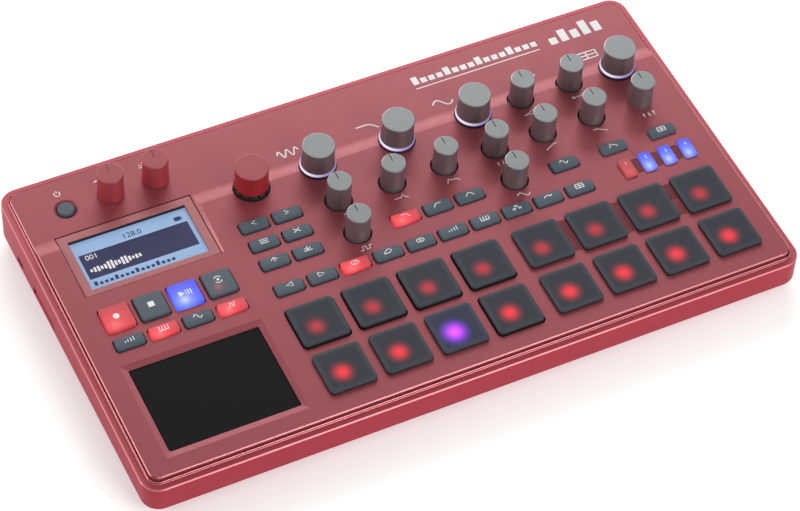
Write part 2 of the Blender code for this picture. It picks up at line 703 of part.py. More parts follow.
def main():
    for old in list(bpy.data.objects):
        bpy.data.objects.remove(old, do_unlink=True)
    frame = bpy.data.objects.new("panel_frame", None)
    bpy.context.collection.objects.link(frame)
    frame.location = Vector((0, 0, PANEL_MID)) * MM
    frame.rotation_euler.x = SLOPE
    build_case()
    build_battery_door()
    build_feet()
    build_sockets()
    build_panel(frame)
    build_display(frame)
    build_touch_plate(frame)
    build_pads(frame)
    build_keys(frame)
    build_power_button(frame)
    build_knobs(frame)
    build_board(frame)


main()
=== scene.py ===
"""Fine pieces, materials, light and camera for the drum machine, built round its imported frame.

Lengths are in millimetres, and MM turns them into Blender's metres. Controls are placed in panel
coordinates, read from the frame: x to the right, y up the sloping panel and z out of its face.
"""
import json
import math

import bmesh
import bpy
from mathutils import Matrix, Vector


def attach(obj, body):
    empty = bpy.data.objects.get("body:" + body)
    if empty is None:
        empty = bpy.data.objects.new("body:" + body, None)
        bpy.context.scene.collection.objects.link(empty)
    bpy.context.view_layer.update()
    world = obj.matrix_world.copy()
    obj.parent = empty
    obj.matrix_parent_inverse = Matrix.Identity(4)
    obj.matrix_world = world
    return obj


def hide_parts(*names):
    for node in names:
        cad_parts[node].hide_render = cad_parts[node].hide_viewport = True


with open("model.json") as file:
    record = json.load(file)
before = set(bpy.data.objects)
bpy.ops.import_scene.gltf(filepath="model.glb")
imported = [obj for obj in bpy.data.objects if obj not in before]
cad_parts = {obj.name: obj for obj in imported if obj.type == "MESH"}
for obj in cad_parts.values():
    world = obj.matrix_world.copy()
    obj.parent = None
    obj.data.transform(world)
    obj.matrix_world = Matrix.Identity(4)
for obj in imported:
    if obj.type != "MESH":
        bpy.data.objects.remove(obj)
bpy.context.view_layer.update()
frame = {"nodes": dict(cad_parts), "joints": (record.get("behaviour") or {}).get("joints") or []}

MM = 0.001
WORLD = Matrix.Identity(4)

# ---- Panel coordinates ----------------------------------------------------------------------
knob_joint = next(joint for joint in frame["joints"] if joint["name"] == "value_encoder_turn")
NORMAL = Vector(knob_joint["axis"])
PANEL_MID = NORMAL.dot(Vector(knob_joint["pos_m"])) / NORMAL.z
SLOPE = math.atan2(-NORMAL.y, NORMAL.z)
PANEL = Matrix.Translation((0, 0, PANEL_MID)) @ Matrix.Rotation(SLOPE, 4, "X")


def box_in(node, space):
    """Lowest and highest corner of a CAD node in a space, in millimetres."""
    inverse = space.inverted()
    points = [inverse @ vert.co / MM for vert in frame["nodes"][node].data.vertices]
    low = Vector([min(point[i] for point in points) for i in range(3)])
    high = Vector([max(point[i] for point in points) for i in range(3)])
    return low, high


def middle_of(node, space=PANEL):
    """Middle of a CAD node, on the panel unless said otherwise, as (x, y)."""
    low, high = box_in(node, space)
    return (low.x + high.x) / 2, (low.y + high.y) / 2


def size_of(node, margin=0.0, space=PANEL):
    """Width and length of a CAD node, less a margin all round."""
    low, high = box_in(node, space)
    return (high.x - low.x - 2 * margin, high.y - low.y - 2 * margin)


# ---- Sizes ----------------------------------------------------------------------------------
WIDTH, DEPTH = size_of("bottom_case", space=WORLD)
CASE_BOTTOM = box_in("bottom_case", WORLD)[0].z
REAR, LEFT = DEPTH / 2, -WIDTH / 2
CASE_CORNER = 9.0
SKIRT_EDGE = 5.5
SKIRT_INSET = 4.0
LEDGE_FRONT = 19.7
RIM_INSET = 3.5
RIM_RISE = 1.3
WALL = 3.95
FLOOR_TOP = 5.5
BAY_TOP = 19.9
PANEL_INSET = 4.3
PANEL_THICK = 1.8
PANEL_SKIRT = 4.0
STEP_START = 48.0
STEP_END = 56.0
STEP_DROP = 1.5
FLANGE = 1.4                # how far a pad's flange passes its top
WEB = 1.1                   # how far a keypad's web passes its keys
HOLE_GAP = 0.55             # between a key or pad and the edge of its hole
KEY_SIZE = (14.1, 6.3)
KEY_TOP = 1.6
KEY_CORNER = 1.3
KEY_ROWS = (-15.05, 1.45, 13.5, 25.5)
BAR_SIZE = (6.5, 11.3)
PAD_CORNER = 2.2
SMALL_HOLE = 6.9            # radius of the hole round a knob or ring
LEVEL_HOLE = 6.0
ENCODER_HOLE = 9.25
RING_INNER, RING_OUTER = 7.0, 8.9
# Below RING_SHADE_TOP the light ring's outer wall takes a dark colour, painted shade.
RING_SHADE_TOP, RING_TOP = 1.35, 2.2
TOUCH_INSET = (2.8, 3.05)   # slope of the touch pad's frame, seen from above
TOUCH_LIP = 0.55            # upright part between the touch plate and that slope
CARD_Y = (19.0, 46.0)
CARD_TOP = 12.8
CARD_DEPTH = 2.6
LOCK_Y = 63.5
LOCK_Z = 10.8
SOCKET_Z = 15.0
OUTPUT_X = (72.0, 94.0)
MINI_X = [-118.0 + 15.0 * i for i in range(6)]
INLET_X = -136.0
SHAFT_RADIUS = 2.8

PAD_NODES = [f"pad_{row}_{i + 1}" for row in ("lower", "upper") for i in range(8)]
SMALL_KNOBS = ("pitch_knob", "resonance_knob", "filter_env_knob", "mod_depth_knob", "attack_knob",
               "decay_knob", "effect_edit_knob", "sound_edit_knob", "mod_speed_knob", "level_knob",
               "pan_knob")
RED_KNOBS = ("volume_knob", "input_level_knob")
GREY_ENCODERS = ("sound_encoder", "filter_encoder", "modulation_encoder", "effect_encoder")
ENCODERS = GREY_ENCODERS + ("value_encoder",)


# ---- Mesh building --------------------------------------------------------------------------
def rounded_rectangle(size, corner, steps=8):
    """Outline of a rectangle whose corners are arcs of the given number of steps."""
    half_x, half_y = size[0] / 2 - corner, size[1] / 2 - corner
    outline = []
    for index, (sx, sy) in enumerate(((1, 1), (-1, 1), (-1, -1), (1, -1))):
        for step in range(steps + 1):
            angle = math.radians(90 * (index + step / steps))
            outline.append((sx * half_x + corner * math.cos(angle), sy * half_y + corner * math.sin(angle)))
    return outline


def soften(points, radii, steps=4):
    """Round the corners of an outline: each inner point becomes a short curve of its own reach."""
    softened = [points[0]]
    for before, here, after, radius in zip(points, points[1:], points[2:], radii[1:]):
        here = Vector(here)
        enter = here + (Vector(before) - here).normalized() * radius
        leave = here + (Vector(after) - here).normalized() * radius
        for i in range(steps + 1):
            t = i / steps
            softened.append(tuple(enter.lerp(here, t).lerp(here.lerp(leave, t), t)))
    softened.append(points[-1])
    return softened


def add_loft(bm, rings, slot=0):
    """Add a solid through rings of 3-D points, capped at both ends."""
    loops = [[bm.verts.new(point) for point in ring] for ring in rings]
    count = len(loops[0])
    faces = []
    for lower, upper in zip(loops, loops[1:]):
        for i in range(count):
            j = (i + 1) % count
            faces.append(bm.faces.new((lower[i], lower[j], upper[j], upper[i])))
    faces.append(bm.faces.new(list(reversed(loops[0]))))
    faces.append(bm.faces.new(loops[-1]))
    for face in faces:
        face.material_index = slot


def add_stack(bm, layers, centre=(0.0, 0.0), steps=6):
    """Add a solid of rounded rectangles: layers are (size, corner, height), upwards."""
    rings = []
    for size, corner, height in layers:
        outline = rounded_rectangle(size, corner, steps)
        rings.append([(centre[0] + x, centre[1] + y, height) for x, y in outline])
    add_loft(bm, rings)


def add_box(bm, low, high, slot=0):
    """Add a box between two corners."""
    corners = ((low[0], low[1]), (high[0], low[1]), (high[0], high[1]), (low[0], high[1]))
    add_loft(bm, [[(x, y, z) for x, y in corners] for z in (low[2], high[2])], slot)


def add_turned(bm, profile, segments=64, centre=(0.0, 0.0), slots=None, along_y=False):
    """Add a solid of revolution whose (radius, height) profile runs round its section.

    A profile from axis to axis is a plain turning, and any other is a closed ring. slots gives
    the material of each stretch of the profile.
    """
    ring = not (profile[0][0] == 0 and profile[-1][0] == 0)
    centre = Vector(centre).to_3d()
    loops = []
    for radius, height in profile:
        loop = []
        for i in range(segments if radius else 1):
            angle = 2 * math.pi * (i + 0.5) / segments
            a, b = radius * math.cos(angle), radius * math.sin(angle)
            loop.append(bm.verts.new(centre + Vector((a, height, b) if along_y else (a, b, height))))
        loops.append(loop)
    pairs = list(zip(loops, loops[1:]))
    if ring:
        pairs.append((loops[-1], loops[0]))
    for index, (first, second) in enumerate(pairs):
        for i in range(segments):
            j = (i + 1) % segments
            if len(first) == 1:
                face = bm.faces.new((first[0], second[j], second[i]))
            elif len(second) == 1:
                face = bm.faces.new((first[i], first[j], second[0]))
            else:
                face = bm.faces.new((first[i], first[j], second[j], second[i]))
            face.material_index = slots[index] if slots else 0


def slice_across(bm, places):
    """Add an edge across the mesh at each y, so that it can bend there."""
    for y in places:
        bmesh.ops.bisect_plane(bm, geom=bm.verts[:] + bm.edges[:] + bm.faces[:], dist=1e-4,
                               plane_co=(0, y, 0), plane_no=(0, 1, 0))


def grow(size, margin):
    """A rectangle's size with a margin added all round."""
    return (size[0] + 2 * margin, size[1] + 2 * margin)


def cushion_layers(size, corner, bottom, top, edge, crown, reach):
    """Layers of a moulded button: straight sides, a rounded edge and a slightly crowned top."""
    layers = [(size, corner, bottom), (size, corner, (bottom + top) / 2), (size, corner, top - edge)]
    for i in range(1, 7):
        angle = math.radians(15 * i)
        inset = edge * (1 - math.cos(angle))
        height = top - edge + edge * math.sin(angle)
        layers.append((grow(size, -inset), max(corner - inset * 0.4, 0.3), height))
    for i in range(1, 6):
        share = i / 5
        inset = edge + (reach - edge) * share
        rise = crown * math.sin(share * math.pi / 2)
        layers.append((grow(size, -inset), max(corner * (1 - share * 0.7), 0.3), top + rise))
    return layers


def new_object(name, bm, materials=(), space=PANEL, place=(0, 0), tilt=0.0):
    """Turn a mesh in millimetres into an object, at a place in millimetres in the given space."""
    bmesh.ops.recalc_face_normals(bm, faces=bm.faces)
    bmesh.ops.scale(bm, vec=(MM, MM, MM), verts=bm.verts)
    mesh = bpy.data.meshes.new(name)
    bm.to_mesh(mesh)
    bm.free()
    for made in materials:
        mesh.materials.append(made)
    thing = bpy.data.objects.new(name, mesh)
    bpy.context.scene.collection.objects.link(thing)
    shift = Matrix.Translation(Vector(place).to_3d() * MM)
    thing.matrix_world = space @ shift @ Matrix.Rotation(tilt, 4, "X")
    return thing


def cut(target, bm, space=PANEL, place=(0, 0), tilt=0.0, operation="DIFFERENCE"):
    """Cut a mesh in millimetres out of an object, or join it on with another operation."""
    cutter = new_object("cutter", bm, (), space, place, tilt)
    bpy.context.view_layer.update()
    modifier = target.modifiers.new("cut", "BOOLEAN")
    modifier.operation = operation
    modifier.solver = "EXACT"
    modifier.object = cutter
    graph = bpy.context.evaluated_depsgraph_get()
    result = bpy.data.meshes.new_from_object(target.evaluated_get(graph))
    target.modifiers.clear()
    target.data = result
    bpy.data.objects.remove(cutter)


def polish(thing, slot_of):
    """Choose the material slot of every face of a piece from its middle and normal."""
    for face in thing.data.polygons:
        face.material_index = slot_of(face.center / MM, face.normal)


def settle(thing, body, replaces=(), sharp=35):
    """Shade a finished piece, its many-sided faces flat, and make it ride on its body."""
    thing.data.shade_smooth()
    thing.data.set_sharp_from_angle(angle=math.radians(sharp))
    for face in thing.data.polygons:
        if len(face.vertices) > 4:
            face.use_smooth = False
    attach(thing, body)
    if replaces:
        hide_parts(*replaces)


# ---- Materials ------------------------------------------------------------------------------
class Surface:
    """A Principled material and short ways to add nodes to it."""

    def __init__(self, name, colour, roughness=0.5, metallic=0.0, **sockets):
        self.material = bpy.data.materials.new(name)
        self.material.use_nodes = True
        self.nodes = self.material.node_tree.nodes
        self.links = self.material.node_tree.links
        self.shader = self.nodes["Principled BSDF"]
        self.shader.inputs["Base Color"].default_value = (*colour, 1)
        self.shader.inputs["Roughness"].default_value = roughness
        self.shader.inputs["Metallic"].default_value = metallic
        for socket, value in sockets.items():
            self.shader.inputs[socket.replace("_", " ")].default_value = value
        self.colour = colour
        self.coordinates = self.nodes.new("ShaderNodeTexCoord").outputs["Object"]

    def node(self, kind, inputs=(), **settings):
        """Add a node, with its settings and its inputs given as links or values."""
        made = self.nodes.new("ShaderNode" + kind)
        for key, value in settings.items():
            setattr(made, key, value)
        for key, value in dict(inputs).items():
            if isinstance(value, bpy.types.NodeSocket):
                self.links.new(value, made.inputs[key])
            else:
                made.inputs[key].default_value = value
        return made

    def noise(self, size, detail=3.0, stretch=(1, 1, 1)):
        """Noise whose grains are about size millimetres across."""
        mapping = self.node("Mapping", {"Vector": self.coordinates, "Scale": stretch})
        inputs = {"Vector": mapping.outputs[0], "Scale": 1 / (size * MM), "Detail": detail}
        return self.node("TexNoise", inputs).outputs["Fac"]

    def stripes(self, spacing, **settings):
        """Regular waves with a spacing in millimetres."""
        inputs = {"Vector": self.coordinates, "Scale": 1 / (spacing * MM) / 20}
        return self.node("TexWave", inputs, **settings).outputs["Fac"]

    def spread(self, value, low, high, start=0.25, end=0.75):
        """Map a noise value to a range."""
        inputs = {"Value": value, "From Min": start, "From Max": end, "To Min": low, "To Max": high}
        return self.node("MapRange", inputs).outputs[0]

    def tint(self, value, dark, light, start=0.25, end=0.75):
        """Vary the base colour between two brightnesses of itself."""
        mix = self.node("Mix", {"Factor": self.spread(value, 0, 1, start, end)}, data_type="RGBA")
        mix.inputs["A"].default_value = (*[c * dark for c in self.colour], 1)
        mix.inputs["B"].default_value = (*[c * light for c in self.colour], 1)
        self.links.new(mix.outputs["Result"], self.shader.inputs["Base Color"])

    def rough(self, value, low, high):
        """Vary the roughness."""
        self.links.new(self.spread(value, low, high), self.shader.inputs["Roughness"])

    def bump(self, value, height):
        """Raise the surface by up to height millimetres."""
        bump = self.node("Bump", {"Height": value, "Distance": height * MM, "Strength": 1.0})
        self.links.new(bump.outputs[0], self.shader.inputs["Normal"])

    def radius(self, centre=(0.0, 0.0), squash=(1.0, 1.0)):
        """Distance in millimetres from a spot on the piece's own plane."""
        shift = self.node("Mapping", {
            "Vector": self.coordinates,
            "Location": (-centre[0] * squash[0], -centre[1] * squash[1], 0),
            "Scale": (squash[0] / MM, squash[1] / MM, 0),
        })
        return self.node("VectorMath", {0: shift.outputs[0]}, operation="LENGTH").outputs["Value"]

    def painted_edge_highlight(self, start, end, colour):
        """Painted highlight: blend to a paler colour between two distances from the middle, across or along.
        """
        reach = self.node("VectorMath", {0: self.coordinates}, operation="ABSOLUTE").outputs[0]
        split = self.node("SeparateXYZ", {"Vector": reach})
        far = self.node("Math", {0: split.outputs["X"], 1: split.outputs["Y"]}, operation="MAXIMUM")
        share = self.spread(far.outputs[0], 0, 1, start * MM, end * MM)
        mix = self.node("Mix", {"Factor": share}, data_type="RGBA")
        self.links.new(self.shader.inputs["Base Color"].links[0].from_socket, mix.inputs["A"])
        mix.inputs["B"].default_value = (*colour, 1)
        self.links.new(mix.outputs["Result"], self.shader.inputs["Base Color"])

    def glow(self, radius, stops, reach, strength):
        """Light seen through the surface: stops are (share of the reach, colour)."""
        share = self.node("MapRange", {"Value": radius, "From Max": reach}).outputs[0]
        ramp = self.node("ValToRGB", {"Fac": share})
        ramp.color_ramp.interpolation = "B_SPLINE"
        elements = ramp.color_ramp.elements
        while len(elements) < len(stops):
            elements.new(0.5)
        for element, (position, colour) in zip(elements, stops):
            element.position = position
        for element, (position, colour) in zip(elements, stops):
            element.color = (*colour, 1)
        self.links.new(ramp.outputs["Color"], self.shader.inputs["Emission Color"])
        self.shader.inputs["Emission Strength"].default_value = strength


def painted_metal(name, colour, roughness, metallic, gloss=0.5):
    """Satin paint with fine metal flakes, over blasted metal."""
    made = Surface(name, colour, roughness, metallic, Specular_IOR_Level=gloss)
    made.tint(made.noise(0.55, 2), 0.90, 1.10)
    made.rough(made.noise(6.0, 4), roughness - 0.03, roughness + 0.04)
    made.bump(made.noise(0.35, 2), 0.012)
    return made.material


def turned_metal(name, colour, roughness, metallic):
    """Anodised metal with the fine rings that a lathe leaves."""
    made = Surface(name, colour, roughness, metallic)
    rings = made.stripes(0.22, wave_type="RINGS", rings_direction="Z")
    made.tint(made.noise(0.4, 2, (1, 1, 3)), 0.92, 1.08)
    made.rough(made.noise(1.5, 3), roughness - 0.04, roughness + 0.05)
    made.bump(rings, 0.004)
    return made.material


def rubber(name, colour, roughness=0.6):
    """Moulded silicone with a fine matt grain."""
    made = Surface(name, colour, roughness, 0.0, Specular_IOR_Level=0.35, Sheen_Weight=0.12,
                   Sheen_Roughness=0.4)
    made.tint(made.noise(1.2, 4), 0.90, 1.12)
    made.rough(made.noise(0.8, 3), roughness - 0.07, roughness + 0.08)
    made.bump(made.noise(0.25, 2), 0.010)
    return made


def lit_rubber(name, colour, stops, reach, strength, centre=(0.0, 0.0), squash=(1.0, 1.0), edge=None):
    """Silicone with a light glowing through it, and a painted highlight towards an edge given as (from, to).
    """
    made = rubber(name, colour)
    if edge:
        # Paler slate towards the rounded edge: a painted highlight.
        made.painted_edge_highlight(*edge, (0.046, 0.060, 0.072))
    made.glow(made.radius(centre, squash), stops, reach, strength)
    return made.material


def plastic(name, colour, roughness=0.35, grain=0.5, depth=0.006, **sockets):
    """Moulded plastic with a fine spark-eroded grain."""
    made = Surface(name, colour, roughness, 0.0, **sockets)
    made.tint(made.noise(grain * 6, 3), 0.95, 1.05)
    made.rough(made.noise(grain * 3, 3), roughness - 0.04, roughness + 0.05)
    made.bump(made.noise(grain, 2), depth)
    return made.material


def plated(name, colour, roughness=0.25):
    """Bright plated metal with slight scuffs."""
    made = Surface(name, colour, roughness, 1.0)
    made.tint(made.noise(1.0, 3), 0.92, 1.05)
    made.rough(made.noise(0.6, 4), roughness - 0.06, roughness + 0.10)
    return made.material


def ink(name, colour, gloss=0.5):
    """Screen-printed ink."""
    made = Surface(name, colour, 0.5, Specular_IOR_Level=gloss)
    made.tint(made.noise(0.5, 2), 0.93, 1.03)
    made.bump(made.noise(0.2, 2), 0.004)
    return made.material


def display_blue():
    """Backlit display: brighter in the middle, with the fine grid of its pixels."""
    made = Surface("display_blue", (0.06, 0.10, 0.16), 0.25)
    columns, rows = [made.stripes(0.46, wave_type="BANDS", bands_direction=way) for way in "XY"]
    grid = made.node("Math", {0: columns, 1: rows}, operation="MINIMUM")
    made.tint(grid.outputs[0], 0.93, 1.04, 0.0, 0.3)
    stops = ((0.0, (0.30, 0.44, 0.66)), (1.0, (0.22, 0.34, 0.54)))
    made.glow(made.radius(squash=(1.0, 1.6)), stops, 34, 0.88)
    return made.material


RED_GLOW = ((0.0, (1.0, 0.020, 0.030)), (0.28, (0.80, 0.010, 0.016)), (0.55, (0.20, 0.003, 0.005)),
            (0.8, (0.03, 0.001, 0.002)), (1.0, (0, 0, 0)))
VIOLET_GLOW = ((0.0, (1.0, 0.09, 1.0)), (0.28, (0.62, 0.05, 0.95)), (0.55, (0.13, 0.015, 0.50)),
               (0.8, (0.02, 0.004, 0.10)), (1.0, (0, 0, 0)))

PAD_SLATE = (0.013, 0.019, 0.030)
KEY_SLATE = (0.075, 0.098, 0.122)
CASE_RED = painted_metal("case_red", (0.37, 0.031, 0.050), 0.48, 0.12, 0.14)
# Brighter copy of the case paint for the ledge's upward faces: painted light on the top.
LEDGE_LIT_RED = painted_metal("ledge_painted_light", (0.42, 0.060, 0.080), 0.44, 0.25)
# Paler copy of the red paint for chamfers and the touch pad's lip: a painted highlight.
EDGE_HIGHLIGHT_RED = painted_metal("edge_painted_highlight", (0.62, 0.20, 0.22), 0.34, 0.35)
PANEL_RED = painted_metal("panel_red", (0.285, 0.056, 0.070), 0.42, 0.32)
# Paler copy of the panel paint for the slanted cheek beside the display: a painted highlight.
CHEEK_HIGHLIGHT_RED = painted_metal("cheek_painted_highlight", (0.42, 0.125, 0.145), 0.36, 0.3)
BEZEL_RED = plastic("bezel_red", (0.36, 0.098, 0.103), 0.42)
DOOR_RED = plastic("door_red", (0.30, 0.030, 0.040), 0.42, 0.8, 0.02)
# Cap and side are one anodised metal; the sides take paler tinted copies as painted light.
KNOB_CAP = turned_metal("knob_cap", (0.20, 0.212, 0.215), 0.42, 0.5)
KNOB_SIDE_LIT = turned_metal("knob_side_painted_light", (0.30, 0.285, 0.30), 0.32, 0.7)
# Brighter plated copies for the caps' chamfers: a painted highlight.
KNOB_EDGE_HIGHLIGHT = plated("knob_edge_highlight", (0.40, 0.40, 0.40), 0.4)
RED_CAP = turned_metal("red_cap", (0.26, 0.055, 0.066), 0.42, 0.5)
RED_EDGE_HIGHLIGHT = plated("red_edge_highlight", (0.46, 0.15, 0.17), 0.4)
RED_SIDE_LIT = turned_metal("red_side_painted_light", (0.62, 0.11, 0.13), 0.36, 0.6)
VALUE_SIDE_LIT = turned_metal("value_side_painted_light", (0.60, 0.055, 0.075), 0.34, 0.6)
POINTER = plastic("pointer_dark", (0.02, 0.018, 0.018), 0.5)
RUBBER = rubber("key_rubber", KEY_SLATE).material
# Dark violet for the lower part of each light ring: painted shade.
RING_SHADE = rubber("ring_painted_shade", (0.055, 0.030, 0.085), 0.5).material
# Pad finishes: a lamp's glow, and a painted highlight towards the rounded edge.
PAD_BRIGHT, PAD_SOFT, PAD_VIOLET = [
    lit_rubber(f"pad_glow_{kind}", PAD_SLATE, stops, reach, strength, (-2.2, lamp_y), edge=(9.0, 12.6))
    for kind, stops, reach, strength, lamp_y in (
        ("bright", RED_GLOW, 7.6, 0.98, -2.4), ("soft", RED_GLOW, 7.2, 0.52, -2.9),
        ("violet", VIOLET_GLOW, 8.8, 1.1, -2.2))
]
# Black plastic, also used as painted shade on the pads' side faces.
BLACK_PLASTIC_AND_SHADE = plastic("black_plastic_and_painted_shade", (0.018, 0.018, 0.019), 0.4)
SHADOW = plastic("gap_black", (0.006, 0.006, 0.006), 0.7)
TOUCH = plastic("touch_black", (0.006, 0.006, 0.0065), 0.5, 0.3, 0.003, Specular_IOR_Level=0.08)
FOOT = rubber("foot_rubber", (0.025, 0.025, 0.026), 0.75).material
BOARD = plastic("board_green", (0.015, 0.12, 0.05), 0.45)
NICKEL = plated("nickel", (0.70, 0.69, 0.66))
WHITE_INK = ink("print_white", (0.80, 0.78, 0.78))
NAVY = ink("display_navy", (0.020, 0.022, 0.085), 0.25)
LCD = display_blue()


# ---- Marks: strokes, filled shapes and digits -----------------------------------------------
FILM = 0.03                  # half the thickness of a filled mark


def arc(centre, radius, start, end, steps=12):
    """Points along an arc, angles in degrees from +X."""
    angles = [math.radians(start + (end - start) * i / steps) for i in range(steps + 1)]
    return [(centre[0] + radius * math.cos(a), centre[1] + radius * math.sin(a)) for a in angles]


def wave(cycles, steps=24):
    """Points along a sine wave across the unit box."""
    return [(-1 + 2 * i / steps, math.sin(2 * math.pi * cycles * i / steps)) for i in range(steps + 1)]


ICONS = {                    # strokes in a box from -1 to 1 each way
    "left": [[(0.5, 0.9), (-0.5, 0), (0.5, -0.9)]],
    "right": [[(-0.5, 0.9), (0.5, 0), (-0.5, -0.9)]],
    "menu": [[(-1, y), (1, y)] for y in (0.9, 0, -0.9)],
    "cross": [[(-0.8, -0.9), (0.8, 0.9)], [(-0.8, 0.9), (0.8, -0.9)]],
    "up": [[(-0.8, -0.1), (0, 1), (0.8, -0.1)], [(0, 1), (0, -1)]],
    "down": [[(-0.8, 0.3), (0, -0.6), (0.8, 0.3)], [(0, 1), (0, -0.6)], [(-1, -1), (1, -1)]],
    "part_left": [[(0.9, 1), (-0.6, 0), (0.9, -1), (0.9, 1)]],
    "part_right": [[(-0.9, 1), (0.6, 0), (-0.9, -1), (-0.9, 1)]],
    "mute": [arc((0, 0), 0.95, 0, 360), [(-0.7, -0.7), (0.7, 0.7)]],
    "erase": [[(-1, -0.9), (0.3, -0.9), (1, 0.2), (0.2, 1), (-1, -0.4), (-1, -0.9)]],
    "trigger": [arc((0, 0), 0.9, 0, 360), arc((0, 0), 0.2, 0, 360)],
    "steps": [[(x, -1), (x, top)] for x, top in ((-1, -0.3), (-0.35, 0.2), (0.35, 0.6), (1, 1))],
    "keys": [[(x, -1), (x, 1)] for x in (-1, -0.33, 0.33, 1)] + [[(-1, -1), (1, -1)]],
    "chord": [arc((x, y), 0.35, 0, 360) for x, y in ((-0.7, -0.6), (0.7, -0.6), (0, 0.6))],
    "jump": [arc((0, -0.4), 0.9, 180, 20), [(0.35, 0.1), (0.9, -0.1), (1.1, 0.6)]],
    "grid": [[(-1, y), (1, y)] for y in (-1, 0, 1)] + [[(x, -1), (x, 1)] for x in (-1, 0, 1)],
    "low_pass": [[(-1, 0.6), (0.1, 0.6), (0.45, 0.3), (1, -1)]],
    "high_pass": [[(1, 0.6), (-0.1, 0.6), (-0.45, 0.3), (-1, -1)]],
    "band_pass": [[(-1, -1), (-0.35, 0.4), (0, 0.7), (0.35, 0.4), (1, -1)]],
    "peak": [[(-1, -0.2), (0, -0.2), (0.35, 1), (0.6, -0.2), (1, -1)]],
    "envelope": [[(-1, -1), (-0.6, 1), (-0.25, 0.1), (0.5, 0.1), (1, -1)]],
    "attack": [[(-1, -1), (0.4, 1), (1, 1)]],
    "decay": [[(-1, 1), (-0.4, 1), (1, -1)]],
    "depth": [[(0, -1), (0, 1)]] + [[(-0.35, 0.4 * way), (0, way), (0.35, 0.4 * way)] for way in (1, -1)],
    "level": [[(-1, -0.9), (1, -0.9), (1, 0.9), (-1, -0.9)]],
    "pan": [[(0.55 * way, 0.7), (way, 0), (0.55 * way, -0.7)] for way in (-1, 1)] + [[(-1, 0), (1, 0)]],
    "sine": [wave(1)],
    "waves": [wave(2.5, 40)],
    "square": [[(-1, -0.8), (-0.5, -0.8), (-0.5, 0.8), (0, 0.8), (0, -0.8), (0.5, -0.8), (0.5, 0.8),
                (1, 0.8)]],
    "sliders": [[(x, -1), (x, 1)] for x in (-0.8, 0, 0.8)]
               + [[(x - 0.2, y), (x + 0.2, y)] for x, y in ((-0.8, 0.3), (0, -0.4), (0.8, 0.6))],
    "power": [arc((0, -0.1), 0.85, 125, 415), [(0, 0.1), (0, 1)]],
}


def stroke_mesh(strokes, width):
    """A flattened mesh of round-ended strokes, in metres."""
    curve = bpy.data.curves.new("strokes", "CURVE")
    curve.dimensions = "3D"
    curve.bevel_depth = width / 2 * MM
    curve.bevel_resolution = 1
    curve.use_fill_caps = True
    for points in strokes:
        spline = curve.splines.new("POLY")
        spline.points.add(len(points) - 1)
        for point, (x, y) in zip(spline.points, points):
            point.co = (x * MM, y * MM, 0, 1)
    return to_mesh(curve)


def digit_mesh(text, height):
    """A mesh of plain digits, centred on its origin, in metres."""
    curve = bpy.data.curves.new("digits", "FONT")
    curve.body = text
    curve.size = height / 0.7 * MM
    curve.extrude = 0.02 * MM
    curve.align_x = "CENTER"
    curve.align_y = "CENTER"
    return to_mesh(curve)


def to_mesh(curve):
    """Turn curve data into a mesh."""
    holder = bpy.data.objects.new("holder", curve)
    bpy.context.scene.collection.objects.link(holder)
    graph = bpy.context.evaluated_depsgraph_get()
    mesh = bpy.data.meshes.new_from_object(holder.evaluated_get(graph))
    bpy.data.objects.remove(holder)
    return mesh


class Marks:
    """Printed marks gathered into one piece."""

    def __init__(self):
        self.bm = bmesh.new()

    def add(self, mesh, place, height, flatten=0.12):
        """Add a mesh at a place, at a height, flattened to a thin film."""
        start = len(self.bm.verts)
        self.bm.from_mesh(mesh)
        self.bm.verts.ensure_lookup_table()
        for vert in self.bm.verts[start:]:
            point = vert.co / MM
            vert.co = (point.x + place[0], point.y + place[1], point.z * flatten + height)

    def icon(self, name, place, size, height, width=0.45):
        """Add an icon scaled to half sizes in millimetres."""
        strokes = [[(x * size[0], y * size[1]) for x, y in points] for points in ICONS[name]]
        self.add(stroke_mesh(strokes, width), place, height)

    def digits(self, text, place, size, height):
        """Add digits of a height in millimetres."""
        self.add(digit_mesh(text, size), place, height, 1.0)

    def block(self, low, high, height):
        """Add a filled rectangle."""
        add_box(self.bm, (*low, height - FILM), (*high, height + FILM))

    def disc(self, place, radius, height):
        """Add a filled disc."""
        top, bottom = height + FILM, height - FILM
        add_turned(self.bm, [(0, top), (radius, top), (radius, bottom), (0, bottom)], 32, place)

    def polygon(self, points, height):
        """Add a filled polygon."""
        add_loft(self.bm, [[(x, y, height + dz) for x, y in points] for dz in (-FILM, FILM)])

    def finish(self, name, material, body, slot, place=(0, 0), tilt=0.0, space=PANEL):
        """Turn the gathered marks into a piece."""
        settle(new_object(name, self.bm, [material], space, place, tilt), body)


# ---- Case -----------------------------------------------------------------------------------
def slope_height(y):
    """How far the sloping top has risen above its height at the front wall."""
    return math.tan(SLOPE) * (y + DEPTH / 2)


def case_rings(points):
    """Rings of the case for a profile of (inset, height), which rises with the sloping top."""
    rings = []
    for inset, height in points:
        share = min(max((height - SKIRT_EDGE) / (LEDGE_FRONT - SKIRT_EDGE), 0.0), 1.0)
        outline = rounded_rectangle(grow((WIDTH, DEPTH), -inset), max(CASE_CORNER - inset, 2.0), 14)
        rings.append([(x, y, height + share * slope_height(y)) for x, y in outline])
    return rings


def socket_cut(bm, x, radius, depth):
    """Add a round cutter from the rear face."""
    near, far = REAR - depth, REAR + 1
    add_turned(bm, [(0, near), (radius, near), (radius, far), (0, far)], 48, (x, 0, SOCKET_Z), along_y=True)


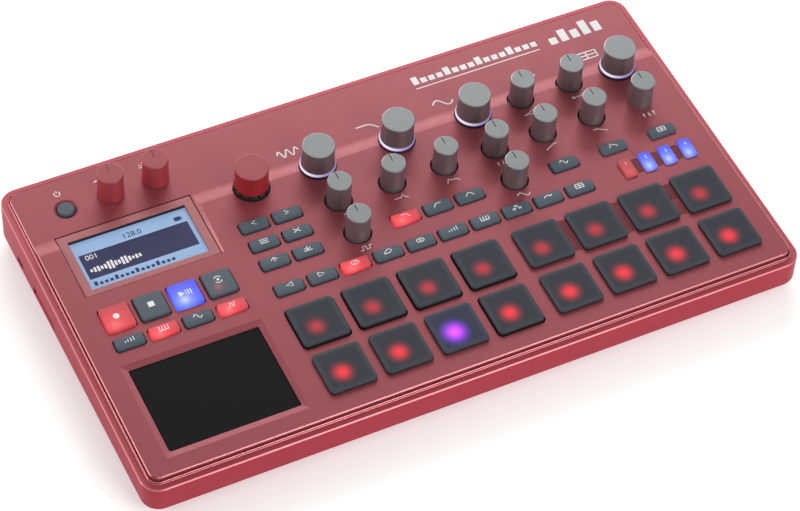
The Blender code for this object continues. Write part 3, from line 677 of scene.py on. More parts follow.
def build_case():
    """Case shell with its stepped rim, slots, socket holes, screw holes and battery bay."""
    profile = soften(
        [(SKIRT_INSET, CASE_BOTTOM), (0.25, SKIRT_EDGE), (0.25, SKIRT_EDGE + 0.7), (0, SKIRT_EDGE + 0.9),
         (0, LEDGE_FRONT), (RIM_INSET, LEDGE_FRONT), (RIM_INSET, LEDGE_FRONT + RIM_RISE),
         (WALL, LEDGE_FRONT + RIM_RISE), (WALL, SKIRT_EDGE + 3), (WALL + SKIRT_INSET, FLOOR_TOP)],
        [0, 0.3, 0.1, 0.1, 0.5, 0.2, 0.32, 0.18, 1.0, 0], 1)
    bm = bmesh.new()
    add_loft(bm, case_rings(profile))
    case = new_object("case_shell", bm, [CASE_RED, EDGE_HIGHLIGHT_RED, LEDGE_LIT_RED], WORLD)

    door_low, door_high = box_in("battery_door", WORLD)
    bay_x, bay_y = door_high.x - 3, (door_low.y + 3, door_high.y - 3)
    bm = bmesh.new()
    add_box(bm, (-bay_x - 2.5, bay_y[0] - 2.5, FLOOR_TOP - 1), (bay_x + 2.5, bay_y[1] + 2.5, BAY_TOP + 1.1))
    cut(case, bm, WORLD, operation="UNION")
    bm = bmesh.new()
    add_box(bm, (-bay_x - 5.3, door_low.y - 10.3, FLOOR_TOP - 1),
            (bay_x + 5.3, door_high.y + 2.3, FLOOR_TOP + 2))
    cut(case, bm, WORLD, operation="UNION")
    bm = bmesh.new()
    add_box(bm, (-bay_x - 3.3, door_low.y - 8.3, CASE_BOTTOM - 1), (bay_x + 3.3, door_high.y + 0.3, 5.3))
    cut(case, bm, WORLD)

    bm = bmesh.new()
    add_box(bm, (-bay_x, bay_y[0], CASE_BOTTOM - 1), (bay_x, bay_y[1], BAY_TOP))
    for x in OUTPUT_X:
        socket_cut(bm, x, 6.3, WALL + 1)
    for x in MINI_X:
        socket_cut(bm, x, 4.2, WALL + 1)
    socket_cut(bm, INLET_X, 5.1, WALL + 1)
    low, high = CASE_BOTTOM - 1, CASE_BOTTOM + 1.6
    for place in screw_places():
        add_turned(bm, [(0, low), (3.3, low), (3.3, high), (0, high)], 32, place)
    for near, far, low, high in ((CARD_Y[0] + 1, CARD_Y[1] - 1, CARD_TOP - 2.6, CARD_TOP),
                                 (LOCK_Y - 3.5, LOCK_Y + 3.5, LOCK_Z - 1.5, LOCK_Z + 1.5)):
        add_box(bm, (LEFT - 1, near, low), (LEFT + WALL + 1, far, high))
    cut(case, bm, WORLD)

    bm = bmesh.new()
    for x in OUTPUT_X:
        socket_cut(bm, x, 8.6, 2.2)
    scoop = [(LEFT - 1, SKIRT_EDGE + 0.6), (LEFT, SKIRT_EDGE + 0.6), (LEFT + CARD_DEPTH, CARD_TOP - 2),
             (LEFT + CARD_DEPTH, CARD_TOP), (LEFT - 1, CARD_TOP)]
    add_loft(bm, [[(x, y, z) for x, z in scoop] for y in CARD_Y])
    cut(case, bm, WORLD)

    def case_slot(spot, normal):
        """Painted highlight on the red case's outer chamfers, and painted light on its ledge."""
        # Outward chamfers take the painted highlight.
        if 0.5 < normal.z < 0.9 and normal.x * spot.x + normal.y * spot.y > 0:
            return 1
        # Upward faces of the ledge take the brighter copy, painted light.
        above = spot.z - LEDGE_FRONT - slope_height(spot.y)
        return 2 if abs(above) < 0.3 and normal.z > 0.93 else 0

    polish(case, case_slot)
    settle(case, "case", ["bottom_case"], 30)


def screw_places():
    """Where screws hold the case together, under its edges."""
    across, along = WIDTH / 2 - 12, DEPTH / 2 - 12
    return [(sx * share * across, sy * along) for sy in (-1, 1) for share in (0.55, 1) for sx in (-1, 1)]


def build_screws():
    """Cross-head screws in their holes under the case."""
    bm = bmesh.new()
    head = [(0, 1.45), (2.7, 1.45), (2.7, 0.85), (2.2, 0.45), (1.4, 0.35), (0, 0.35)]
    for x, y in screw_places():
        add_turned(bm, head, 28, (x, y, CASE_BOTTOM))
    screws = new_object("case_screws", bm, [NICKEL], WORLD)
    bm = bmesh.new()
    for x, y in screw_places():
        for half_x, half_y in ((1.5, 0.28), (0.28, 1.5)):
            add_box(bm, (x - half_x, y - half_y, CASE_BOTTOM), (x + half_x, y + half_y, CASE_BOTTOM + 0.95))
    cut(screws, bm, WORLD)
    settle(screws, "case", sharp=40)


def build_feet():
    """Rubber feet with a rounded edge and a shallow ring."""
    for name in [node for node in frame["nodes"] if node.startswith("foot_")]:
        low, high = box_in(name, WORLD)
        radius, top = (high.x - low.x) / 2, high.z
        profile = soften([(0, top), (radius, top), (radius, 1.2), (radius - 0.5, 0), (radius - 2.2, 0),
                          (radius - 2.6, 0.35), (radius - 3.4, 0.35), (radius - 3.8, 0), (0, 0)],
                         [0, 0.05, 0.3, 0.4, 0.15, 0.15, 0.15, 0.15, 0], 3)
        bm = bmesh.new()
        add_turned(bm, profile, 48)
        foot = new_object(f"{name}_rubber", bm, [FOOT], WORLD, middle_of(name, WORLD))
        settle(foot, "case", [name])


def build_battery_door():
    """Battery door with a ribbed grip and a direction arrow."""
    low, high = box_in("battery_door", WORLD)
    size = size_of("battery_door", space=WORLD)
    x, y = middle_of("battery_door", WORLD)
    place = (x, y, low.z)
    bm = bmesh.new()
    add_stack(bm, [(grow(size, -0.5), 1.0, 0), (grow(size, -0.15), 1.2, 0.15), (size, 1.3, 0.5),
                   (size, 1.3, high.z - low.z)])
    door = new_object("battery_door_cover", bm, [DOOR_RED], WORLD, place)
    bm = bmesh.new()
    groove = (22, 0.9)
    for i in range(7):
        add_stack(bm, [(groove, 0.4, -1), (groove, 0.4, 0.6)], (0, size[1] / 2 - 7 - 1.8 * i), 3)
    cut(door, bm, WORLD, place)
    settle(door, "battery_door", ["battery_door"], 30)
    marks = Marks()
    marks.icon("up", (x, y - 6), (3.0, 3.4), low.z + 0.02, 0.7)
    for vert in marks.bm.verts:
        vert.co.y = y - 6 - (vert.co.y - y + 6)
    marks.finish("battery_door_arrow", BLACK_PLASTIC_AND_SHADE, "battery_door", "door_red", space=WORLD)


def build_slots():
    """Dark boxes in the card slot and the lock slot of the left wall: painted shade inside the openings."""
    for name, low, high in (
        ("card_slot_shade", (CARD_DEPTH + 0.9, CARD_Y[0] + 1.2, CARD_TOP - 2.5),
         (WALL + 2, CARD_Y[1] - 1.2, CARD_TOP - 0.1)),
        ("lock_slot_shade", (1.2, LOCK_Y - 3.4, LOCK_Z - 1.4), (WALL + 1, LOCK_Y + 3.4, LOCK_Z + 1.4)),
    ):
        bm = bmesh.new()
        add_box(bm, (LEFT + low[0], *low[1:]), (LEFT + high[0], *high[1:]))
        # The dark box stands in for the shade inside the opening.
        settle(new_object(name, bm, [SHADOW], WORLD), "case")


# ---- Rear sockets ---------------------------------------------------------------------------
def add_socket(bm, x, profile, segments, slots=None):
    """Add a turned part of a socket; its profile is (radius, distance behind the rear face)."""
    add_turned(bm, [(radius, REAR - behind) for radius, behind in profile], segments, (x, 0, SOCKET_Z),
               slots, along_y=True)


def build_sockets():
    """Output sockets with hexagon nuts, and the row of small sockets with the power inlet."""
    low, high = box_in("output_sockets", WORLD)
    bm = bmesh.new()
    add_box(bm, low, (high.x, REAR - WALL - 3, low.z + 2.5), 1)
    for x in OUTPUT_X:
        add_socket(bm, x, [(6.0, 27), (6.0, 0.4), (5.7, 0.1), (3.6, 0.1), (3.3, 0.4), (3.3, 27)], 48,
                   [1, 0, 0, 0, 1, 1])
        add_socket(bm, x, [(8.4, 2.1), (8.4, 1.75), (6.1, 1.75), (6.1, 2.1)], 48)
        add_socket(bm, x, [(8.0, 1.7), (8.0, 0.5), (7.4, 0.2), (6.1, 0.2), (6.1, 1.7)], 6)
    settle(new_object("output_socket_pair", bm, [NICKEL, BLACK_PLASTIC_AND_SHADE], WORLD), "case", ["output_sockets"])

    low, high = box_in("rear_jack_board", WORLD)
    deep = REAR - low.y
    bm = bmesh.new()
    add_box(bm, (low.x, low.y, SOCKET_Z - 5.6), (high.x, REAR - WALL - 1, SOCKET_Z - 3.2))
    for x in MINI_X:
        add_socket(bm, x, [(0, deep), (3.9, deep), (3.9, 0.4), (3.6, 0), (2.7, 0), (2.5, 0.3), (1.85, 0.3),
                           (1.85, deep - 2), (0, deep - 2)], 40, [1, 1, 1, 1, 1, 2, 2, 1])
    add_socket(bm, INLET_X, [(0, deep), (4.8, deep), (4.8, 0.4), (4.5, 0), (3.4, 0), (3.1, 0.3),
                             (3.1, deep - 2), (1.0, deep - 2), (1.0, 1.3), (0.7, 1.0), (0, 1.0)], 40,
               [1, 1, 1, 1, 1, 1, 1, 2, 2, 2])
    settle(new_object("small_socket_row", bm, [BOARD, BLACK_PLASTIC_AND_SHADE, NICKEL], WORLD), "case", ["rear_jack_board"])


# ---- Panel ----------------------------------------------------------------------------------
def step_height(y):
    """Height of the panel's face, which falls in a soft slope to its rear part."""
    share = min(max((y - STEP_START) / (STEP_END - STEP_START), 0.0), 1.0)
    return -STEP_DROP * (1 - (1 - share) ** 1.7)


def key_places(node, columns, rows, size):
    """Middles of a keypad's keys, spread evenly over its web."""
    low, high = box_in(node, PANEL)
    first_x, last_x = low.x + WEB + size[0] / 2, high.x - WEB - size[0] / 2
    pitch = (last_x - first_x) / max(columns - 1, 1)
    heights = rows if rows else [(low.y + high.y) / 2]
    return [(first_x + pitch * i, y) for y in heights for i in range(columns)]


KEYPADS = {                  # columns, rows and the size of a key
    "menu_keypad": (2, KEY_ROWS, KEY_SIZE),
    "mode_keypad": (8, None, KEY_SIZE),
    "filter_keypad": (3, None, KEY_SIZE),
    "touch_keypad": (4, None, KEY_SIZE),
    "bar_keypad": (4, None, BAR_SIZE),
}
SINGLE_KEYS = ("mod_send_key", "amp_env_key", "effect_on_key")
TRANSPORT = ("record_button", "stop_button", "play_button", "tap_button")


def key_holes():
    """Place, size and corner of every square hole in the panel."""
    holes = []
    for node, (columns, rows, size) in KEYPADS.items():
        holes += [(place, size, KEY_CORNER) for place in key_places(node, columns, rows, size)]
    holes += [(middle_of(node), size_of(node, WEB), KEY_CORNER) for node in SINGLE_KEYS + TRANSPORT]
    holes += [(middle_of(node), size_of(node, FLANGE), PAD_CORNER) for node in PAD_NODES]
    return holes


def build_panel():
    """Panel plate with its openings, the touch pad's frame and the display's well."""
    size = grow((WIDTH, DEPTH), -PANEL_INSET)
    corner = CASE_CORNER - PANEL_INSET
    bm = bmesh.new()
    inside = (grow(size, -2.5), corner - 2.0)
    add_stack(bm, [(*inside, -PANEL_THICK), (*inside, -PANEL_SKIRT), (size, corner, -PANEL_SKIRT),
                   (size, corner, -0.45), (grow(size, -0.45), corner, 0)], steps=12)
    strips = 12
    slice_across(bm, [STEP_START + (STEP_END - STEP_START) * i / strips for i in range(strips + 1)])
    for vert in bm.verts:
        vert.co.z += step_height(vert.co.y)
    panel = new_object("panel_plate", bm, [PANEL_RED, CHEEK_HIGHLIGHT_RED, EDGE_HIGHLIGHT_RED])

    low, high, lip = -PANEL_THICK - STEP_DROP - 2, 2.0, 0.12
    bm = bmesh.new()
    for place, size, corner in key_holes():
        hole, wide = grow(size, HOLE_GAP), grow(size, HOLE_GAP + lip)
        add_stack(bm, [(hole, corner + 0.2, low), (hole, corner + 0.2, -lip), (wide, corner + 0.4, 0),
                       (wide, corner + 0.4, high)], place)
    for nodes, radius, face in ((SMALL_KNOBS, SMALL_HOLE, 0), (RED_KNOBS, LEVEL_HOLE, -STEP_DROP),
                                (ENCODERS, ENCODER_HOLE, 0)):
        for node in nodes:
            x, y = middle_of(node)
            rim = face if y < STEP_START - 8 or y > STEP_END else high - 1
            add_turned(bm, [(0, low), (radius, low), (radius, rim - lip), (radius + lip, rim),
                            (radius + lip, high), (0, high)], 64, (x, y))
    dish = [(0, low), (4.6, low), (4.6, -STEP_DROP - 0.9), (5.5, -STEP_DROP - 0.25), (5.9, -STEP_DROP),
            (5.9, high), (0, high)]
    add_turned(bm, dish, 64, middle_of("power_button"))
    touch_low, touch_high = box_in("touch_plate", PANEL)
    touch_size = size_of("touch_plate", -0.3)
    frame_size = (touch_size[0] + 2 * TOUCH_INSET[0], touch_size[1] + 2 * TOUCH_INSET[1])
    add_stack(bm, [(touch_size, 1.2, low), (touch_size, 1.2, touch_high.z + TOUCH_LIP), (frame_size, 0.9, 0),
                   (frame_size, 0.9, high)], middle_of("touch_plate"))
    bezel_x, bezel_y = size_of("display_bezel")
    well = (bezel_x + 0.9, bezel_y + 1.0)
    well_middle = middle_of("display_bezel")
    add_stack(bm, [(well, 0.6, low), (well, 0.6, high)], well_middle)
    cut(panel, bm)

    bm = bmesh.new()
    edge = well_middle[0] + well[0] / 2 - 0.3
    sections = []
    near, far = well_middle[1] - well[1] / 2, well_middle[1] + well[1] / 2
    for y, bottom in ((near + 0.4, -1.1), (far, -2.26)):
        sections.append([(edge, y, bottom), (edge, y, high), (edge + 1.1 * (high - bottom), y, high)])
    add_loft(bm, sections)
    cut(panel, bm)
    half_x, half_y = [side / 2 - PANEL_INSET - 1 for side in (WIDTH, DEPTH)]
    lips = ((touch_low.x - 1, touch_high.x + 1), (touch_low.y - 1, touch_high.y + 1))

    def panel_slot(spot, normal):
        """Painted highlight on the outer edge, the touch pad's lip and the cheek beside the display."""
        # Outer chamfers and the touch pad's upright lip take the painted highlight.
        if 0.5 < normal.z < 0.9:
            if abs(spot.x) > half_x or abs(spot.y) > half_y:
                return 2
            # The cheek beside the display takes its painted highlight.
            return int(edge - 1 < spot.x < edge + 6 and near - 1 < spot.y < far + 1)
        beside = all(start < value < end for value, (start, end) in zip(spot, lips))
        return 2 if beside and abs(normal.z) < 0.3 else 0

    polish(panel, panel_slot)
    settle(panel, "case", ["top_panel"], 25)


KNOB_ICONS = {
    "pitch_knob": "depth", "resonance_knob": "peak", "filter_env_knob": "envelope",
    "mod_depth_knob": "sliders", "attack_knob": "attack", "decay_knob": "decay",
    "effect_edit_knob": "sliders", "sound_edit_knob": "square", "mod_speed_knob": "sine",
    "level_knob": "level", "pan_knob": "pan",
}


def build_print():
    """White marks on the panel: plain pictograms by the controls and an emblem of five bars."""
    marks = Marks()

    def label(node, icon, shift, size, height, width):
        """Print an icon at a shift from the middle of a control."""
        x, y = middle_of(node)
        marks.icon(icon, (x + shift[0], y + shift[1]), size, height, width)

    film = 0.02
    rear = -STEP_DROP + film
    for node, icon in KNOB_ICONS.items():
        label(node, icon, (0, -9.8), (3.4, 1.3), film, 0.42)
    for node, icon in zip(RED_KNOBS, ("level", "down")):
        label(node, icon, (-2.5, 10.5), (2.6, 1.3), rear, 0.45)
    for node, icon in zip(GREY_ENCODERS, ("waves", "low_pass", "sine", "grid")):
        label(node, icon, (-9.5, 14.0), (5.5, 2.2), rear, 0.75)
    label("level_knob", "envelope", (8.5, 14.5), (6.0, 2.2), rear, 0.75)
    label("power_button", "power", (-0.5, 10.6), (1.7, 1.7), rear, 0.42)
    for i, tall in enumerate((4.4, 8.0, 5.6, 9.4, 6.6)):
        marks.block((121 + 6.2 * i, 75), (125.2 + 6.2 * i, 75 + tall), rear)
    for i in range(16):
        marks.block((45 + 4.4 * i, 77.5), (48.2 + 4.4 * i, 80.7 if i % 4 else 82.6), rear)
    marks.block((45, 74.6), (114.2, 75.2), rear)
    marks.finish("panel_print", WHITE_INK, "case", "panel_red")


# ---- Knobs ----------------------------------------------------------------------------------
def knob_profile(radius, top, foot, flare):
    """Section of a knob: cap with a painted highlight on its edge, slightly hollow side and a spreading
    foot.
    """
    steps, rim = 12, top - 0.4
    points = [(0, top), (radius - 0.4, top), (radius - 0.14, top - 0.12), (radius, rim)]
    for i in range(1, steps + 1):
        share = i / steps
        hollow = flare * share ** 2 - 0.10 * math.sin(math.pi * share)
        points.append((radius + hollow, rim - (rim - foot) * share))
    return points + [(0, foot)], [0, 1, 1] + [2] * (steps + 1)


def pointer_line(bm, radius, top):
    """Pointer inlaid in a cap, from near its middle to the rear rim."""
    half = 0.3
    add_box(bm, (-half, radius * 0.2, top - 0.5), (half, radius - 0.5, top + 0.02), 3)
    add_box(bm, (-half, radius - 0.5, top - 1.0), (half, radius + 0.02, top - 0.28), 3)


def build_knobs():
    """Small grey knobs, red level knobs and the large encoders."""
    groups = (
        # Finishes: cap, edge with painted highlight, and side in a copy tinted as painted light.
        (SMALL_KNOBS, (KNOB_CAP, KNOB_EDGE_HIGHLIGHT, KNOB_SIDE_LIT), "knob_grey", 0.15),
        (RED_KNOBS, (RED_CAP, RED_EDGE_HIGHLIGHT, RED_SIDE_LIT), "knob_red", 0.25),
        (GREY_ENCODERS, (KNOB_CAP, KNOB_EDGE_HIGHLIGHT, KNOB_SIDE_LIT), "knob_grey", 0.35),
        (("value_encoder",), (RED_CAP, RED_EDGE_HIGHLIGHT, VALUE_SIDE_LIT), "knob_red", 0.15),
    )
    for nodes, finishes, slot, flare in groups:
        for node in nodes:
            low, high = box_in(node, PANEL)
            radius, top = (high.x - low.x) / 2 - flare, high.z - 0.03
            bm = bmesh.new()
            profile, slots = knob_profile(radius, top, low.z, flare)
            add_turned(bm, profile, 96, slots=slots)
            if "encoder" not in node:
                pointer_line(bm, radius, top)
            knob = new_object(f"{node}_turned", bm, [*finishes, POINTER], PANEL, middle_of(node))
            settle(knob, node, [node], 15)


def ring_material():
    """Light ring: white at the left, violet elsewhere."""
    made = Surface("ring_light", (0.30, 0.26, 0.36), 0.4, 0, Specular_IOR_Level=0.2)
    stops = ((0.0, (1.0, 0.95, 1.0)), (0.28, (0.85, 0.75, 1.0)), (0.55, (0.22, 0.14, 0.42)),
             (1.0, (0.10, 0.06, 0.20)))
    made.glow(made.radius((-9.5, -3.0)), stops, 20, 0.75)
    return made.material


def build_rings():
    """Light rings under the grey encoders, their lower part in painted shade, and a notched black ring under
    the value encoder.
    """
    light = ring_material()
    section = soften([(RING_OUTER, -3), (RING_OUTER, RING_SHADE_TOP), (RING_OUTER, RING_TOP),
                      (RING_INNER, RING_TOP), (RING_INNER, -3), (RING_OUTER, -3)],
                     [0, 0, 0.5, 0.2, 0, 0], 4)[:-1]
    for node in ENCODERS:
        bm = bmesh.new()
        add_turned(bm, section, 96)
        finishes = [light, RING_SHADE] if node in GREY_ENCODERS else [BLACK_PLASTIC_AND_SHADE]
        ring = new_object(f"{node}_ring", bm, finishes, PANEL, middle_of(node))
        if node in GREY_ENCODERS:
            # Faces below RING_SHADE_TOP take the painted shade.
            polish(ring, lambda spot, normal: int(spot.z < RING_SHADE_TOP))
        else:
            bm = bmesh.new()
            for turn in range(0, 360, 30):
                angle = math.radians(turn)
                add_turned(bm, [(0, 1.2), (0.75, 1.2), (0.75, 3), (0, 3)], 16,
                           (RING_OUTER * math.cos(angle), RING_OUTER * math.sin(angle)))
            cut(ring, bm, PANEL, middle_of(node))
        settle(ring, "case", sharp=40)


def build_board():
    """Control board with the bodies and shafts of its potentiometers and encoders."""
    size, low = size_of("control_board"), box_in("control_board", PANEL)[0]
    top = -5.2
    bm = bmesh.new()
    add_stack(bm, [(size, 3, low.z), (size, 3, top)])
    for node in SMALL_KNOBS + RED_KNOBS + ENCODERS:
        body, reach = (-4.1, 6.5) if node in RED_KNOBS else (-3.6, 8.0)
        add_turned(bm, [(0, top - 0.5), (5.5, top - 0.5), (5.5, body), (SHAFT_RADIUS, body),
                        (SHAFT_RADIUS, reach), (0, reach)], 32, middle_of(node), [1] * 5)
    board = new_object("control_board_assembly", bm, [BOARD, NICKEL])
    settle(board, "case", ["control_board"])


# ---- Pads and keys --------------------------------------------------------------------------
def build_pads():
    """Sixteen silicone pads with rounded edges, each lit by a small lamp below."""
    for node in PAD_NODES:
        low, high = box_in(node, PANEL)
        size, flange = size_of(node, FLANGE), size_of(node)
        bm = bmesh.new()
        layers = [(flange, PAD_CORNER, low.z), (flange, PAD_CORNER, low.z + 1.0)]
        layers += cushion_layers(size, PAD_CORNER, low.z + 1.0, high.z - 0.02, 0.95, 0.02, 9.5)
        add_stack(bm, layers, steps=8)
        finish = PAD_SOFT if "upper" in node else PAD_BRIGHT
        if node == "pad_lower_3":
            finish = PAD_VIOLET
        pad = new_object(f"{node}_silicone", bm, [finish, BLACK_PLASTIC_AND_SHADE], PANEL, middle_of(node))
        # Side faces take black: painted shade down the pad's sides.
        polish(pad, lambda spot, normal: int(abs(normal.z) < 0.42))
        settle(pad, node, [node], 50)


def key_form(bm, size, bottom, lean):
    """A moulded key whose top falls away towards the player."""
    add_stack(bm, cushion_layers(size, KEY_CORNER, bottom, KEY_TOP - 0.02, 0.7, 0.0, 0.9), steps=6)
    half = size[1] / 2
    slice_across(bm, [-half * i / 9 for i in range(9)])
    for vert in bm.verts:
        if vert.co.z > KEY_TOP - 0.9:
            forward = max(-vert.co.y / half, 0.0)
            vert.co.z -= lean * forward ** 2 * (vert.co.z - KEY_TOP + 0.9) / 0.9


LIT_STOPS = {
    "red": ((0.0, (1.0, 0.22, 0.22)), (0.25, (0.95, 0.055, 0.065)), (0.6, (0.62, 0.03, 0.04)),
            (1.0, (0.34, 0.03, 0.04))),
    "blue": ((0.0, (0.75, 0.85, 1.0)), (0.22, (0.16, 0.26, 1.0)), (0.6, (0.06, 0.07, 0.80)),
             (1.0, (0.05, 0.05, 0.52))),
    "dim_red": ((0.0, (0.45, 0.08, 0.08)), (0.3, (0.36, 0.035, 0.04)), (0.7, (0.24, 0.025, 0.03)),
                (1.0, (0.18, 0.025, 0.03))),
    "faint": ((0.0, (0.42, 0.02, 0.02)), (0.25, (0.10, 0.004, 0.005)), (0.5, (0.01, 0, 0)),
              (1.0, (0, 0, 0))),
}


def lit_key(name, kind, centre, reach, squash=(1.0, 1.0), base=(0.30, 0.05, 0.06), strength=0.85):
    """Translucent key lit from below."""
    return lit_rubber(name, base, LIT_STOPS[kind], reach, strength, centre, squash)


def key_materials():
    """Materials of the lit keys, by node and key number."""
    small = lit_key("key_lit_red", "red", (-2.6, -1.6), 9.5, (1.0, 1.3))
    bar_blue = lit_key("bar_lit_blue", "blue", (-0.8, -3.2), 11, (1.2, 1.0), (0.05, 0.06, 0.30), 0.8)
    return {
        ("mode_keypad", 0): small,
        ("filter_keypad", 0): small,
        ("touch_keypad", 1): small,
        ("touch_keypad", 3): small,
        ("bar_keypad", 0): lit_key("bar_lit_red", "dim_red", (-0.8, -3.2), 10, (1.2, 1.0), strength=0.8),
        ("bar_keypad", 1): bar_blue,
        ("bar_keypad", 2): bar_blue,
        ("bar_keypad", 3): bar_blue,
        ("record_button", 0): lit_key("record_lit", "red", (-2.4, -4.2), 13, strength=0.6),
        ("play_button", 0): lit_key("play_lit", "blue", (-1.6, -3.4), 13, base=(0.05, 0.06, 0.30)),
        ("tap_button", 0): lit_key("tap_lit", "faint", (-1.6, -2.4), 7, base=KEY_SLATE, strength=0.8),
    }


KEY_ICONS = {
    "menu_keypad": ("part_left", "part_right", "up", "down", "menu", "cross", "left", "right"),
    "mode_keypad": ("mute", "erase", "trigger", "steps", "keys", "chord", "jump", "grid"),
    "filter_keypad": ("low_pass", "high_pass", "band_pass"),
    "touch_keypad": ("steps", "keys", "sine", "square"),
    "mod_send_key": ("sine",),
    "amp_env_key": ("envelope",),
    "effect_on_key": ("grid",),
}


def transport_mark(marks, node, x, y):
    """Print the plain sign for record, stop, play and pause, or tap."""
    if node == "record_button":
        marks.disc((x - 0.3, y + 0.4), 1.5, KEY_TOP)
    elif node == "stop_button":
        marks.block((x - 1.5, y - 1.0), (x + 1.5, y + 2.0), KEY_TOP)
    elif node == "play_button":
        marks.polygon([(x - 3.2, y + 2.0), (x - 3.2, y - 1.2), (x - 0.4, y + 0.4)], KEY_TOP)
        for left, wide in ((0.2, 0.3), (1.2, 0.6), (2.5, 0.6)):
            marks.block((x + left, y - 1.0), (x + left + wide, y + 2.0), KEY_TOP)
    else:
        marks.disc((x, y + 1.6), 0.7, KEY_TOP)
        arcs = [arc((0, 0), 1.9, start, start + 120) for start in (30, 210)]
        marks.add(stroke_mesh(arcs, 0.45), (x, y + 1.6), KEY_TOP)


def build_keys():
    """Keys on their silicone webs, with a white mark on each."""
    lit = key_materials()
    keypads = {node: (key_places(node, *KEYPADS[node]), KEYPADS[node][2]) for node in KEYPADS}
    for node in SINGLE_KEYS + TRANSPORT:
        keypads[node] = ([middle_of(node)], size_of(node, WEB))
    for node, (places, size) in keypads.items():
        bottom, web = box_in(node, PANEL)[0].z, size_of(node)
        bm = bmesh.new()
        add_stack(bm, [(web, KEY_CORNER, bottom), (web, KEY_CORNER, bottom + 1.0)])
        base = new_object(f"{node}_web", bm, [RUBBER], PANEL, middle_of(node))
        settle(base, node, [node])
        marks = Marks()
        for index, (x, y) in enumerate(places):
            bm = bmesh.new()
            key_form(bm, size, bottom + 0.6, 0.25 if node in TRANSPORT else 0.55)
            finish = lit.get((node, index), RUBBER)
            key = new_object(f"{node}_key_{index + 1}", bm, [finish], PANEL, (x, y))
            settle(key, node, (), 50)
            if node in KEY_ICONS:
                marks.icon(KEY_ICONS[node][index], (x, y + 0.7), (2.1, 1.25), KEY_TOP, 0.42)
            elif node == "bar_keypad":
                marks.digits(str(index + 1), (x + 0.2, y + 2.2), 1.9, KEY_TOP)
        if node in TRANSPORT:
            transport_mark(marks, node, *places[0])
        marks.finish(f"{node}_marks", WHITE_INK, node, "key_rubber")


def build_power_button():
    """Round power button in its dish."""
    low, high = box_in("power_button", PANEL)
    radius, top = 4.2, high.z
    profile = soften([(0, top - 0.12), (radius - 0.55, top), (radius, top - 0.6), (radius, low.z + 0.6),
                      (radius + 1.4, low.z + 0.6), (radius + 1.4, low.z), (0, low.z)],
                     [0, 0.3, 0.25, 0.1, 0.05, 0.05, 0], 3)
    bm = bmesh.new()
    add_turned(bm, profile, 64)
    button = new_object("power_button_cap", bm, [RUBBER], PANEL, middle_of("power_button"))
    settle(button, "power_button", ["power_button"], 40)


# ---- Touch pad and display ------------------------------------------------------------------
def build_touch():
    """Touch plate with softened edges."""
    low, high = box_in("touch_plate", PANEL)
    size = size_of("touch_plate")
    bm = bmesh.new()
    add_stack(bm, [(size, 1.0, low.z), (size, 1.0, high.z - 0.25), (grow(size, -0.1), 0.9, high.z - 0.07),
                   (grow(size, -0.25), 0.8, high.z)])
    plate = new_object("touch_surface", bm, [TOUCH], PANEL, middle_of("touch_plate"))
    settle(plate, "case", ["touch_plate"], 30)


def display_tilt():
    """Slope of the display against the panel, from the bezel's rise over its length."""
    low, high = box_in("display_bezel", PANEL)
    inverse = PANEL.inverted()
    points = [inverse @ vert.co / MM for vert in frame["nodes"]["display_bezel"].data.vertices]
    front = max(point.z for point in points if point.y < low.y + 1)
    back = max(point.z for point in points if point.y > high.y - 1)
    return math.atan2(back - front, high.y - low.y)


def build_display():
    """Bezel with a bevelled window, and the display with its readout."""
    low, high = box_in("display_bezel", PANEL)
    tilt = display_tilt()
    thick = 1.5
    size = (high.x - low.x, (high.y - low.y) / math.cos(tilt))
    x, y = middle_of("display_bezel")
    origin = (x, y, (high.z + low.z) / 2 + thick / 2)
    window = (59.4, 31.0)
    shift = (0, -0.3)
    bm = bmesh.new()
    add_stack(bm, [(size, 0.7, -thick), (size, 0.7, -0.2), (grow(size, -0.2), 0.6, 0)])
    bezel = new_object("display_bezel_frame", bm, [BEZEL_RED], PANEL, origin, tilt)
    bm = bmesh.new()
    add_stack(bm, [(window, 0.5, -thick - 1), (window, 0.5, -0.3), (grow(window, 0.3), 0.7, 0),
                   (grow(window, 0.3), 0.7, 1)], shift)
    cut(bezel, bm, PANEL, origin, tilt)
    settle(bezel, "case", ["display_bezel"], 25)

    bm = bmesh.new()
    module = size_of("display_module")
    face = -thick - 0.3
    add_stack(bm, [(module, 0.6, face - 1.2), (module, 0.6, face)])
    glass = new_object("display_glass", bm, [LCD], PANEL, origin, tilt)
    settle(glass, "case", ["display_module"])
    # A dark strip along the window's rear inner wall.
    bm = bmesh.new()
    right, rear = window[0] / 2 - 0.05, window[1] / 2 + shift[1] - 0.05
    add_box(bm, (-right, rear - 0.4, face + 0.02), (right, rear, -0.45))
    settle(new_object("display_dark_strip", bm, [SHADOW], PANEL, origin, tilt), "case")

    dark = Marks()
    film = face + 0.05
    left, right, bottom, top = -27.8, 27.6, -8.8, 6.6
    dark.block((left, bottom), (right, top), film)
    dark.digits("128.0", (0.5, 9.6), 3.1, film + 0.02)
    dark.block((22.2, 8.4), (25.6, 10.8), film)
    dark.block((25.9, 9.1), (26.4, 10.1), film)
    for i in range(16):
        tall = 2.6 if i % 4 == 0 else 1.6
        dark.block((left + 0.8 + 2.6 * i, -13.2), (left + 2.4 + 2.6 * i, -13.2 + tall), film)
    dark.finish("display_dark_segments", NAVY, "case", "lcd_blue", origin, tilt)
    light = Marks()
    light.digits("001", (left + 5.6, 3.9), 3.0, film + 0.06)
    for i in range(15):
        tall = 1.2 + 4.2 * abs(math.sin(0.75 * i + 0.6)) * math.sin(math.pi * (i + 1) / 16)
        x = left + 2.0 + 1.75 * i
        light.block((x, -3.9 - tall / 2), (x + 1.15, -3.9 + tall / 2), film + 0.06)
    light.finish("display_light_segments", WHITE_INK, "case", "lcd_blue", origin, tilt)


# ---- Light, floor and camera ----------------------------------------------------------------
AZIMUTH = math.radians(28.18)
ELEVATION = math.radians(49.17)
ROLL = math.radians(3.17)
DISTANCE = 1411.7
TARGET = Vector((-0.2, -1.9, 5.5))
LENS = 131.8


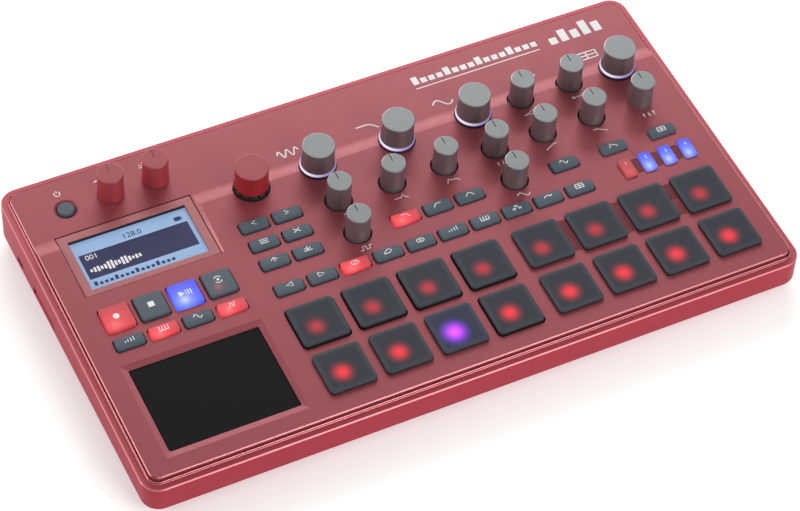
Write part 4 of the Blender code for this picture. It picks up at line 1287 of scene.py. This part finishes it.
def build_camera():
    """Camera at the front left, looking down."""
    level = math.cos(ELEVATION)
    back = Vector((-math.sin(AZIMUTH) * level, -math.cos(AZIMUTH) * level, math.sin(ELEVATION)))
    across = Vector((math.cos(AZIMUTH), -math.sin(AZIMUTH), 0))
    upwards = back.cross(across)
    right = across * math.cos(ROLL) + upwards * math.sin(ROLL)
    up = back.cross(right)
    data = bpy.data.cameras.new("camera")
    data.lens = LENS
    data.sensor_width = 36
    camera = bpy.data.objects.new("camera", data)
    bpy.context.scene.collection.objects.link(camera)
    rotation = Matrix((right, up, back)).transposed().to_4x4()
    camera.matrix_world = Matrix.Translation((TARGET + back * DISTANCE) * MM) @ rotation
    bpy.context.scene.camera = camera


def add_light(name, place, aim, size, energy):
    """Add a soft area light aimed at a point; places are in metres."""
    data = bpy.data.lights.new(name, "AREA")
    data.shape = "RECTANGLE"
    data.size, data.size_y = size
    data.energy = energy
    lamp = bpy.data.objects.new(name, data)
    bpy.context.scene.collection.objects.link(lamp)
    lamp.location = place
    lamp.rotation_euler = (Vector(aim) - Vector(place)).to_track_quat("-Z", "Y").to_euler()


def build_studio():
    """Pale floor, a soft main light from the rear, three smaller lights and a white surround."""
    bm = bmesh.new()
    half = 6000
    add_box(bm, (-half, -half, -20), (half, half, -0.05))
    made = Surface("floor_pale", (0.93, 0.93, 0.935), 0.9, Emission_Color=(1, 1, 1, 1),
                   Emission_Strength=0.3)
    made.tint(made.noise(300, 2), 0.99, 1.0)
    floor = new_object("floor", bm, [made.material], WORLD)
    add_light("main", (0.42, 1.10, 0.78), (0, 0.05, 0), (1.1, 0.6), 12)
    add_light("front", (0.48, -1.20, 0.88), (0, 0, 0), (1.0, 0.5), 7)
    add_light("kicker", (0.10, -0.60, 0.30), (0.02, 0.05, 0.02), (0.30, 0.16), 0.5)
    add_light("left", (-1.15, 0.60, 0.50), (0, 0, 0), (0.8, 0.5), 5.5)
    world = bpy.data.worlds.new("studio")
    world.use_nodes = True
    background = world.node_tree.nodes["Background"]
    background.inputs["Color"].default_value = (1, 1, 1, 1)
    background.inputs["Strength"].default_value = 0.46
    bpy.context.scene.world = world
    bpy.context.scene.view_settings.view_transform = "Standard"


for build in (build_camera, build_studio, build_case, build_screws, build_feet, build_battery_door,
              build_slots, build_sockets, build_panel, build_print, build_knobs, build_rings,
              build_board, build_pads, build_keys, build_power_button, build_touch, build_display):
    build()
